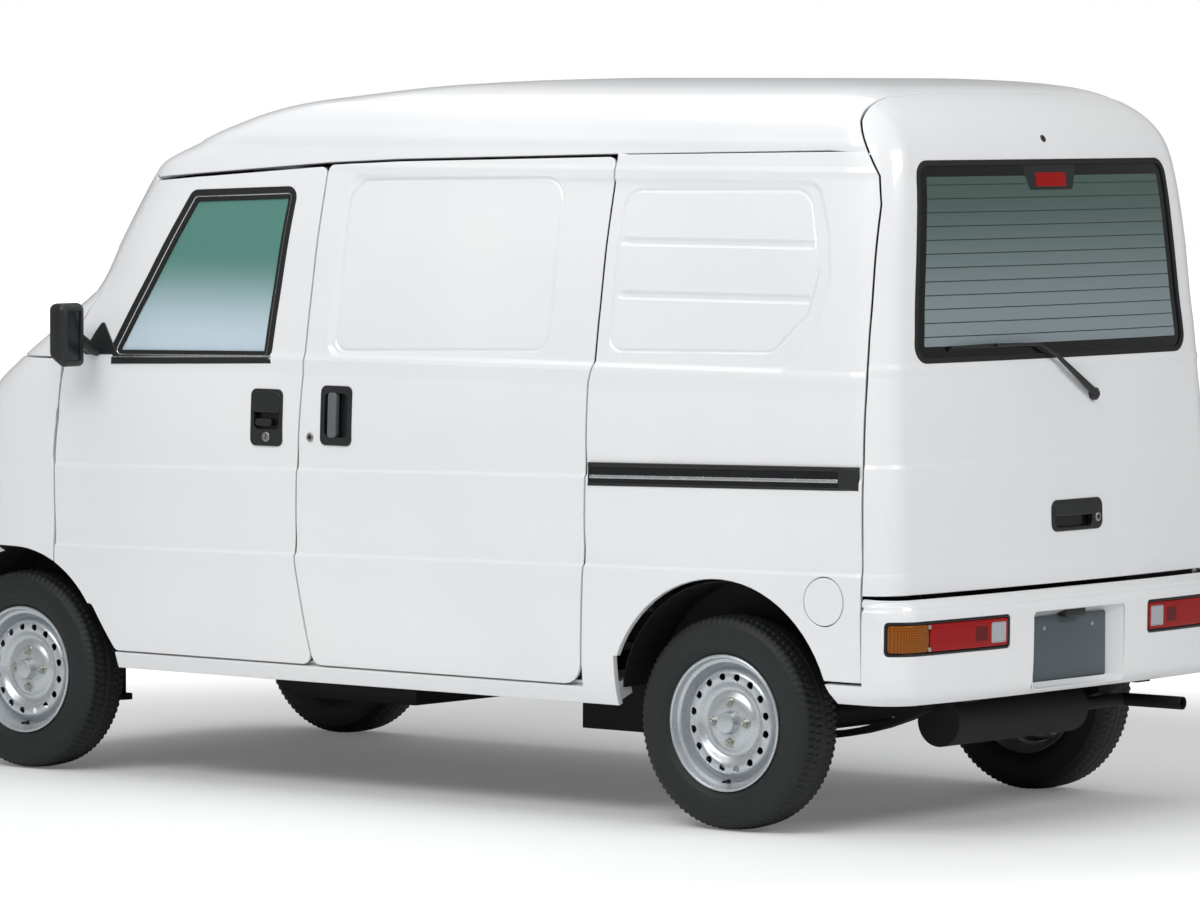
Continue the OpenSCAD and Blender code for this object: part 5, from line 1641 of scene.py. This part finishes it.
MIRROR_BACK = 62
MIRROR_MIDDLE = 1262
for side, hand in HANDS:
    low, high = corners(f"mirror_{hand}")
    y_in, y_out = (low[1], high[1]) if side > 0 else (-high[1], -low[1])
    z_low, z_high = low[2], high[2]
    x_back, x_front = low[0] - MIRROR_BACK, high[0] - MIRROR_BACK
    shell = rounded_block((x_back + 2, y_out - 96, z_low + 2), (x_front - 2, y_out - 1, z_high - 2), 21, 6)
    for v in shell.verts:
        bulge = ease((v.co.x - x_back) / (x_front - x_back))
        v.co.z += (MIRROR_MIDDLE - v.co.z) * 0.16 * float(bulge)
        v.co.y += (y_out - 50 - v.co.y) * 0.2 * float(bulge)
    faces = [f for f in shell.faces if f.normal.x < -0.9 and f.calc_area() > 2000]
    bmesh.ops.inset_region(shell, faces=faces, thickness=3, depth=0)
    bmesh.ops.translate(shell, verts=list({v for f in faces for v in f.verts}), vec=(6, 0, 0))
    bmesh.ops.scale(shell, verts=shell.verts, vec=(MM, MM * side, MM))
    bmesh.ops.recalc_face_normals(shell, faces=shell.faces)
    pieces = [finish(shell, f"mirror_shell_{hand}", [black_grain], f"door_{hand}", [f"mirror_{hand}"])]
    glass = rounded_block((x_back + 6, y_out - 86, z_low + 14), (x_back + 9, y_out - 12, z_high - 14), 1.2,
                          2)
    bmesh.ops.scale(glass, verts=glass.verts, vec=(MM, MM * side, MM))
    bmesh.ops.recalc_face_normals(glass, faces=glass.faces)
    pieces.append(finish(glass, f"mirror_pane_{hand}", [black_gloss], f"door_{hand}"))
    arm = tube([((x_back + x_front) / 2, (y_in + 4) * side, 1150),
                ((x_back + x_front) / 2, (y_in + 26) * side, 1152),
                ((x_back + x_front) / 2 + 4, (y_in + 60) * side, 1178),
                ((x_back + x_front) / 2 + 4, (y_out - 70) * side, 1196)],
               [19, 16, 14, 13], 16)
    pieces.append(finish(arm, f"mirror_arm_{hand}", [black_grain], f"door_{hand}"))
    sail = on_side(f"mirror_sail_{hand}", rounded([(fx(240), 1134), (fx(372), 1138), (fx(316), 1228),
                                                   (fx(276), 1180)], 8, 3),
                   black_grain, side, f"door_{hand}", 3, 8, 2)
    pieces.append(sail)
    print("mirror", hand, count(*pieces), "triangles")

# %% [markdown]
# ## Wheels
# A wheel is turned from a profile: a list of radius and offset from the
# wheel's middle plane. The tyre's tread is pressed into the turned surface: four
# grooves run round it and short slots cut the shoulders into blocks.


# %% Turned shapes
WHEELS = {"front_left": (FRONT_AXLE, 1), "front_right": (FRONT_AXLE, -1), "rear_left": (REAR_AXLE, 1),
          "rear_right": (REAR_AXLE, -1)}


def turned(profile, segments):
    """Spins a closed profile of (radius, offset) about the wheel's axis."""
    bm = bmesh.new()
    verts = [bm.verts.new((r, y, 0)) for r, y in profile]
    edges = [bm.edges.new((verts[i - 1], verts[i])) for i in range(len(verts))]
    bmesh.ops.spin(bm, geom=verts + edges, cent=(0, 0, 0), axis=(0, 1, 0), angle=2 * math.pi, steps=segments,
                   use_merge=True)
    bmesh.ops.remove_doubles(bm, verts=bm.verts, dist=0.01)
    bmesh.ops.recalc_face_normals(bm, faces=bm.faces)
    return bm


def place_wheel(bm, wheel):
    x, side = WHEELS[wheel]
    if side < 0:
        bmesh.ops.reverse_faces(bm, faces=bm.faces)
    bmesh.ops.scale(bm, verts=bm.verts, vec=(1, side, 1))
    bmesh.ops.translate(bm, verts=bm.verts, vec=(x, WHEEL_Y * side, AXLE_Z))
    bmesh.ops.scale(bm, verts=bm.verts, vec=(MM, MM, MM))
    return bm


# %% [markdown]
# ### Tyres
# The profile runs from one bead over the sidewall, with its fine rings, to the
# tread and back. Points of the turned surface are then pulled inwards where a
# groove or a slot is cut, ninety slots round the tyre.

# %% Tyres
BEAD_R = 170.5
half_section = [(BEAD_R, 55), (178, 62), (186, 66.5), (190, 68.6), (192, 68.0), (196, 69.5), (208, 71.8),
                (222, 72.3),
                (234, 71.2), (240, 70.2), (242, 71.0), (246, 70.4), (248, 68.8), (254, 66), (259, 62.5),
                (263, 58.5),
                (265.5, 55), (266.5, 51), (267, 46), (268, 39), (268.3, 37), (268.4, 33), (268.6, 31),
                (269, 22),
                (269.4, 15), (269.4, 13), (269.5, 9), (269.6, 7), (270, 0)]
section = half_section + [(r, -y) for r, y in reversed(half_section[:-1])]
section += [(176, -48), (235, -58), (256, -44), (258, 0), (256, 44), (235, 58), (176, 48)]
SLOTS = 90


def tread_depth(r, y, turn):
    """How deep the tread is cut at an angle, in millimetres."""
    off = np.abs(y)
    groove = np.maximum(ease(1 - np.abs(off - 35) / 2.6), ease(1 - np.abs(off - 11) / 2.6))
    phase = (turn / (2 * math.pi) * SLOTS + 0.5 * (y < 0)) % 1
    slot = (phase < 0.34) & (off > 38)
    centre_slot = ((phase * 1 + 0.5) % 1 < 0.16) & (off > 12) & (off < 34)
    outer = np.clip((r - 248) / 8, 0, 1)
    return 6.5 * groove * (r > 262) + 3.4 * outer * slot + 2.5 * centre_slot * (r > 262)


for wheel in WHEELS:
    bm = turned(section, SLOTS * 4)
    co = np.array([v.co for v in bm.verts])
    radius = np.hypot(co[:, 0], co[:, 2])
    turn = np.arctan2(co[:, 2], co[:, 0]) + 0.004
    cut = np.where(radius > 246.5, tread_depth(radius, co[:, 1], turn), 0)
    cut = np.where((radius < 259) & (np.abs(co[:, 1]) < 58.5), 0, cut)
    share = (radius - cut) / radius
    for v, s in zip(bm.verts, share):
        v.co.x *= s
        v.co.z *= s
    tyre = finish(place_wheel(bm, wheel), f"tread_tyre_{wheel}", [tyre_rubber], f"wheel_{wheel}",
                  [f"tyre_{wheel}"],
                  smooth=28)
print(tyre.name, count(tyre), "triangles each")

# %% [markdown]
# ### Pressed steel wheels
# The barrel ends in a rolled flange. The disc inside it has sixteen holes and
# carries four nuts and a plain proud centre cap.

# %% Barrel and flange
barrel = [(171, 57), (172.5, 60), (171.5, 63.5), (168, 65), (164.5, 63.5), (163, 60), (161.5, 52), (160, 48),
          (152, 45), (150, 40),
          (149, 26), (146, 14), (143, -20), (150, -44), (160, -52), (169, -62), (171, -58), (168, -54),
          (163, -46),
          (154, -40), (147, -18), (149.5, 12), (153, 26), (154, 40), (157, 44), (165, 47), (168, 50)]
print("barrel profile", len(barrel), "points")

# %% [markdown]
# ### Wheel disc
# The disc is drawn as a long flat strip, radius by running length, because
# round holes are easy to cut there. The strip is then bent into a ring and
# dished, and its two ends are merged.

# %% Disc with holes
HOLES = 16
HOLE_R = 9.5
HOLE_AT = 116
DISC = monotone([26, 34, 52, 66, 74, 84, 94, 102, 110, 122, 130, 136, 142, 150],
                [37, 37.5, 36.5, 33, 27, 25, 31, 39, 41.5, 41, 37, 28, 20, 17])


def wheel_disc():
    length = 2 * math.pi * HOLE_AT
    radii = [26, 34, 44, 52, 59, 66, 70, 74, 79, 84, 89, 94, 98, 102, 106, 116, 122, 126, 130, 133, 136, 139,
             142, 150]
    bm = flat_grid(list(np.linspace(0, length, 97)), radii)
    holes = [arc(length * (k + 0.5) / HOLES, HOLE_AT, HOLE_R + 2, 0, 337.5, 15) for k in range(HOLES)]
    knife(bm, [(hole, True) for hole in holes])
    frame_shape = [(-1, 20), (length + 1, 20), (length + 1, 160), (-1, 160)]
    drop_outside(bm, frame_shape, holes)
    thicken(bm, 4, 2, lambda mid: mid[0] < 0.5 or mid[0] > length - 0.5)
    seam = [f for f in bm.faces if all(v.co.x < 0.01 for v in f.verts) or all(v.co.x > length - 0.01
                                                                              for v in f.verts)]
    bmesh.ops.delete(bm, geom=seam, context="FACES_ONLY")
    co = np.array([v.co for v in bm.verts])
    angle = co[:, 0] / HOLE_AT
    slope = (DISC(co[:, 1] + 1) - DISC(co[:, 1] - 1)) / 2
    tilt = np.sqrt(1 + slope * slope)
    r = co[:, 1] - slope / tilt * co[:, 2]
    y = DISC(co[:, 1]) + co[:, 2] / tilt
    for v, a, ri, yi in zip(bm.verts, angle, r, y):
        v.co = (ri * math.cos(a), yi, ri * math.sin(a))
    bmesh.ops.remove_doubles(bm, verts=bm.verts, dist=0.05)
    bmesh.ops.recalc_face_normals(bm, faces=bm.faces)
    return bm


CAP = [(0.2, 62), (14, 62), (19, 61.4), (24.5, 60.5), (26.5, 58), (27, 54), (27.2, 44), (29, 41), (30, 37),
       (24, 36), (24, 33.5), (0.2, 33.5)]
STUD_R = 50
for wheel in WHEELS:
    body = f"wheel_{wheel}"
    pieces = [finish(place_wheel(turned(barrel, 72), wheel), f"wheel_barrel_{wheel}", [wheel_enamel], body,
                     [f"rim_{wheel}"],
                     smooth=40)]
    pieces.append(finish(place_wheel(wheel_disc(), wheel), f"wheel_disc_{wheel}", [wheel_enamel], body,
                         smooth=45))
    pieces.append(finish(place_wheel(turned(CAP, 40), wheel), f"wheel_cap_{wheel}", [wheel_enamel], body))
    nuts = bmesh.new()
    for k in range(4):
        angle = math.radians(90 * k)
        spot = Matrix.Translation((STUD_R * math.cos(angle), 42,
                                   STUD_R * math.sin(angle))) @ Matrix.Rotation(-math.pi / 2, 4, "X")
        bmesh.ops.create_cone(nuts, cap_ends=True, segments=6, radius1=10.5, radius2=10.5, depth=13,
                              matrix=spot)
        stud = spot @ Matrix.Translation((0, 0, 9))
        bmesh.ops.create_cone(nuts, cap_ends=True, segments=16, radius1=7.5, radius2=4.5, depth=6,
                              matrix=stud)
        seat = spot @ Matrix.Translation((0, 0, -5.5))
        bmesh.ops.create_cone(nuts, cap_ends=True, segments=24, radius1=14, radius2=11.5, depth=4,
                              matrix=seat)
    pieces.append(finish(place_wheel(nuts, wheel), f"wheel_nuts_{wheel}", [zinc], body,
                         bevel=0.9))
    valve = turned([(0.2, 66), (3, 66), (3.6, 64), (3.6, 50), (5.5, 46), (6, 40), (0.2, 40)], 12)
    bmesh.ops.translate(valve, verts=valve.verts, vec=(0, 0, -147))
    pieces.append(finish(place_wheel(valve, wheel), f"wheel_valve_{wheel}", [seal_rubber], body))
print(pieces[1].name, count(*pieces), "triangles each")

# %% [markdown]
# ## Carried-over parts
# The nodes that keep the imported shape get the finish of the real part: black
# coat below, grey plastic in the cab.

# %% Finishes of carried-over nodes
KEPT = {
    "floor_pan": underbody, "chassis_frame": underbody, "front_suspension": cast_iron,
    "rear_axle": cast_iron,
    "engine": cast_iron, "fuel_tank": underbody, "exhaust": underbody, "dashboard": interior_grey,
    "steering_wheel": black_grain, "seat_frames": black_grain, "front_wipers": black_grain,
    "knuckle_left": cast_iron, "knuckle_right": cast_iron, "seats": seat_cloth, "headlamps": reflector,
}
for name, mat in KEPT.items():
    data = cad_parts[name].data
    data.materials.clear()
    data.materials.append(mat)
print("carried over", len(KEPT))

# %% [markdown]
# ## Seats
# Six foam pads fill the cab: two cushions, two backs and two headrests. Each
# pad starts as a rounded block, gets an even voxel mesh and is blown up as
# cloth with a little inner pressure, so its faces swell and its corners pull
# in. The movement is capped, because foam keeps its shape. One pad of each
# kind is simulated and copied across to the other seat.

# %% Foam pads
PAD_VOXEL = 6
SWELL = 6.0
PAD_FRAMES = 20


def inflated(bm, name):
    """The mesh of a pad after its cloth simulation, in metres."""
    bmesh.ops.scale(bm, verts=bm.verts, vec=(MM, MM, MM))
    mesh = bpy.data.meshes.new(name)
    bm.to_mesh(mesh)
    bm.free()
    pad = bpy.data.objects.new(name, mesh)
    scene = bpy.context.scene
    scene.collection.objects.link(pad)
    even = pad.modifiers.new("Even", "REMESH")
    even.mode = "VOXEL"
    even.voxel_size = PAD_VOXEL * MM
    base = bpy.data.meshes.new_from_object(pad.evaluated_get(bpy.context.evaluated_depsgraph_get()))
    pad.modifiers.clear()
    pad.data = base
    start = np.array([v.co for v in base.vertices])
    cloth = pad.modifiers.new("Cloth", "CLOTH")
    cloth.settings.quality = 4
    cloth.settings.use_pressure = True
    cloth.settings.uniform_pressure_force = 4
    cloth.settings.effector_weights.gravity = 0
    cloth.point_cache.frame_start = 1
    cloth.point_cache.frame_end = PAD_FRAMES
    for frame_number in range(1, PAD_FRAMES + 1):
        scene.frame_set(frame_number)
    done = pad.evaluated_get(bpy.context.evaluated_depsgraph_get()).to_mesh()
    moved = np.array([v.co for v in done.vertices]) - start
    length = np.linalg.norm(moved, axis=1)
    share = np.minimum(1, SWELL * MM / np.maximum(length, 1e-9))
    start = start + moved * share[:, None]
    pad.modifiers.clear()
    scene.frame_set(1)
    print(name, len(start), "points, moved up to", round(float(length.max()) * 1000, 1), "mm")
    base.vertices.foreach_set("co", start.ravel())
    bpy.data.objects.remove(pad)
    return base


def pad_piece(name, mesh, shift):
    piece = bpy.data.objects.new(name, mesh.copy())
    bpy.context.scene.collection.objects.link(piece)
    piece.data.transform(Matrix.Translation((0, shift * MM, 0)))
    piece.data.materials.clear()
    piece.data.materials.append(seat_cloth)
    piece.data.polygons.foreach_set("use_smooth", [True] * len(piece.data.polygons))
    soft = piece.modifiers.new("Soft", "SUBSURF")
    soft.levels = 1
    soft.render_levels = 1
    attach(piece, "root")
    return piece


SEAT_LOW, SEAT_HIGH = corners("seats")
SEAT_X = SEAT_LOW[0] + 50
SEAT_Y = (SEAT_HIGH[1] - 235)
PADS = {
    "cushion": ((SEAT_X + 97, -228, 647), (SEAT_X + 483, 228, 743), 42, 0.85),
    "back": ((SEAT_X + 7, -228, 677), (SEAT_X + 81, 228, 1223), 34, 0.8),
    "headrest": ((SEAT_X - 43, -123, 1257), (SEAT_X + 31, 123, 1413), 32, 0.75),
}
for kind, (low, high, radius, fill) in PADS.items():
    block = rounded_block((low[0], low[1] + SEAT_Y, low[2]), (high[0], high[1] + SEAT_Y, high[2]), radius, 6)
    mesh = inflated(block, f"{kind}_shape")
    left = pad_piece(f"seat_{kind}_left", mesh, 0)
    right = pad_piece(f"seat_{kind}_right", mesh, -2 * SEAT_Y)
    if kind == "cushion":
        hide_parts("seats")
    print(kind, count(left, right), "triangles before subdivision")

# %% [markdown]
# ### Seams and posts
# Piping closes the cover round the edge of each cushion and back. Two plated
# posts carry each headrest.


# %% Piping and posts
def loop_points(x0, x1, y0, y1, z, radius):
    return [Vector((x, y, z)) for x, y in rounded([(x0, y0), (x1, y0), (x1, y1), (x0, y1)], radius, 5)]


for side, hand in HANDS:
    y = SEAT_Y * side
    cushion_low, cushion_high = PADS["cushion"][:2]
    path = loop_points(cushion_low[0] + 3, cushion_high[0] - 3, y - 224, y + 224, 715, 44)
    seam_a = finish(tube(path + path[:2], 3.2, 8), f"cushion_piping_{hand}", [black_grain], "root")
    back_high = PADS["back"][1]
    path = [Vector((back_high[0] - 12, a, b)) for a, b in
            rounded([(y - 226, 682), (y + 226, 682), (y + 226, 1219), (y - 226, 1219)], 40, 5)]
    seam_b = finish(tube(path + path[:2], 3.2, 8), f"back_piping_{hand}", [black_grain], "root")
    posts = []
    for k, off in enumerate((-62, 62)):
        post = tube([(SEAT_X + 30, y + off, 1200), (SEAT_X + 22, y + off, 1236),
                     (SEAT_X + 2, y + off, 1300)], 6, 12)
        posts.append(finish(post, f"headrest_post_{hand}_{k}", [zinc], "root"))
    print("seat trim", hand, count(seam_a, seam_b, *posts), "triangles")

# %% [markdown]
# ## Studio
# The van stands on a plain pale floor. Away from the van the floor glows, for
# the camera's rays only, so that it runs into the white background without
# lighting the paint. Large soft lights stand above, beside and behind, and the
# white surroundings give the roof and the glass something to mirror.

# %% Floor and backdrop
FLOOR_R = 60
GLOW_FROM = 2.2
GLOW_TO = 4.6
NEAR_GLOW = 0.12
floor_mat, tree, shader, at = finish_material("pale_studio_floor", {"Roughness": 0.7})
sweep = add(tree, "ShaderNodeTexNoise", {"Scale": per_mm(1500), "Detail": 1.0}, {"Vector": at})
blend_colours(tree, shader, sweep.outputs["Fac"], "#eceded", "#f2f3f3")
parts = add(tree, "ShaderNodeVectorMath", {"operation": "LENGTH"}, {0: at})
fade = add(tree, "ShaderNodeMapRange", {"From Min": GLOW_FROM, "From Max": GLOW_TO,
                                        "interpolation_type": "SMOOTHSTEP"},
           {"Value": parts.outputs["Value"]})
rays = add(tree, "ShaderNodeLightPath")
glow = add(tree, "ShaderNodeMapRange", {"To Min": NEAR_GLOW, "To Max": 1.0},
           {"Value": fade.outputs["Result"]})
seen = add(tree, "ShaderNodeMath", {"operation": "MULTIPLY"},
           {0: glow.outputs["Result"], 1: rays.outputs["Is Camera Ray"]})
tree.links.new(seen.outputs["Value"], shader.inputs["Emission Strength"])
shader.inputs["Emission Color"].default_value = rgb("#ffffff")
bm = bmesh.new()
bmesh.ops.create_circle(bm, cap_ends=True, segments=96, radius=FLOOR_R)
mesh = bpy.data.meshes.new("studio_floor")
bm.to_mesh(mesh)
bm.free()
floor = bpy.data.objects.new("studio_floor", mesh)
bpy.context.scene.collection.objects.link(floor)
mesh.materials.append(floor_mat)
print("floor", FLOOR_R, "m in radius")

# %% [markdown]
# ### Light
# The white world fills the shadows. The brightest lamp stands beside the van
# and high up, so that every crease shows a light edge over a soft shade.

# %% Light
WORLD_LIGHT = 0.29
world = bpy.data.worlds.new("white_studio")
world.use_nodes = True
bpy.context.scene.world = world
tree = world.node_tree
background = tree.nodes["Background"]
background.inputs["Color"].default_value = rgb("#ffffff")
ray = add(tree, "ShaderNodeLightPath")
seen = add(tree, "ShaderNodeMapRange", {"To Min": WORLD_LIGHT, "To Max": 1.0},
           {"Value": ray.outputs["Is Camera Ray"]})
tree.links.new(seen.outputs["Result"], background.inputs["Strength"])


def soft_light(name, place, target, width, depth, power):
    lamp = bpy.data.lights.new(name, "AREA")
    lamp.shape = "RECTANGLE"
    lamp.size = width
    lamp.size_y = depth
    lamp.energy = power
    light = bpy.data.objects.new(name, lamp)
    bpy.context.scene.collection.objects.link(light)
    light.location = place
    light.rotation_euler = (Vector(target) - Vector(place)).to_track_quat("-Z", "Y").to_euler()
    return light


soft_light("top_softbox", (1.0, 0.5, 5.5), (0, 0, 0.9), 6.0, 4.0, 105)
soft_light("side_softbox", (-1.0, 6.0, 5.6), (0, 0, 1.2), 7.0, 2.5, 280)
soft_light("rear_softbox", (-7.0, 0.0, 4.6), (-1.6, 0, 1.2), 3.0, 2.0, 150)

# %% [markdown]
# ## Camera
# A long lens looks at the rear left corner from just under the roof line,
# far enough away that the sides keep their true proportions.

# %% Camera
CAMERA_AT = (-11.4256, 13.9512, 1.8564)
CAMERA_RIGHT = Vector((-0.77734, -0.62907, 0.00215))
CAMERA_BACK = Vector((-0.62808, 0.77629, 0.05375))
LENS = 202.456
lens = bpy.data.cameras.new("studio_camera")
lens.lens = LENS
lens.sensor_width = 36
lens.sensor_fit = "HORIZONTAL"
lens.clip_end = 200
camera = bpy.data.objects.new("studio_camera", lens)
bpy.context.scene.collection.objects.link(camera)
up = CAMERA_BACK.cross(CAMERA_RIGHT)
turn = Matrix((CAMERA_RIGHT, up, CAMERA_BACK)).transposed().to_4x4()
camera.matrix_world = Matrix.Translation(CAMERA_AT) @ turn
bpy.context.scene.camera = camera
bpy.context.scene.view_settings.view_transform = "Standard"
print(camera.name, "with a lens of", LENS, "mm")
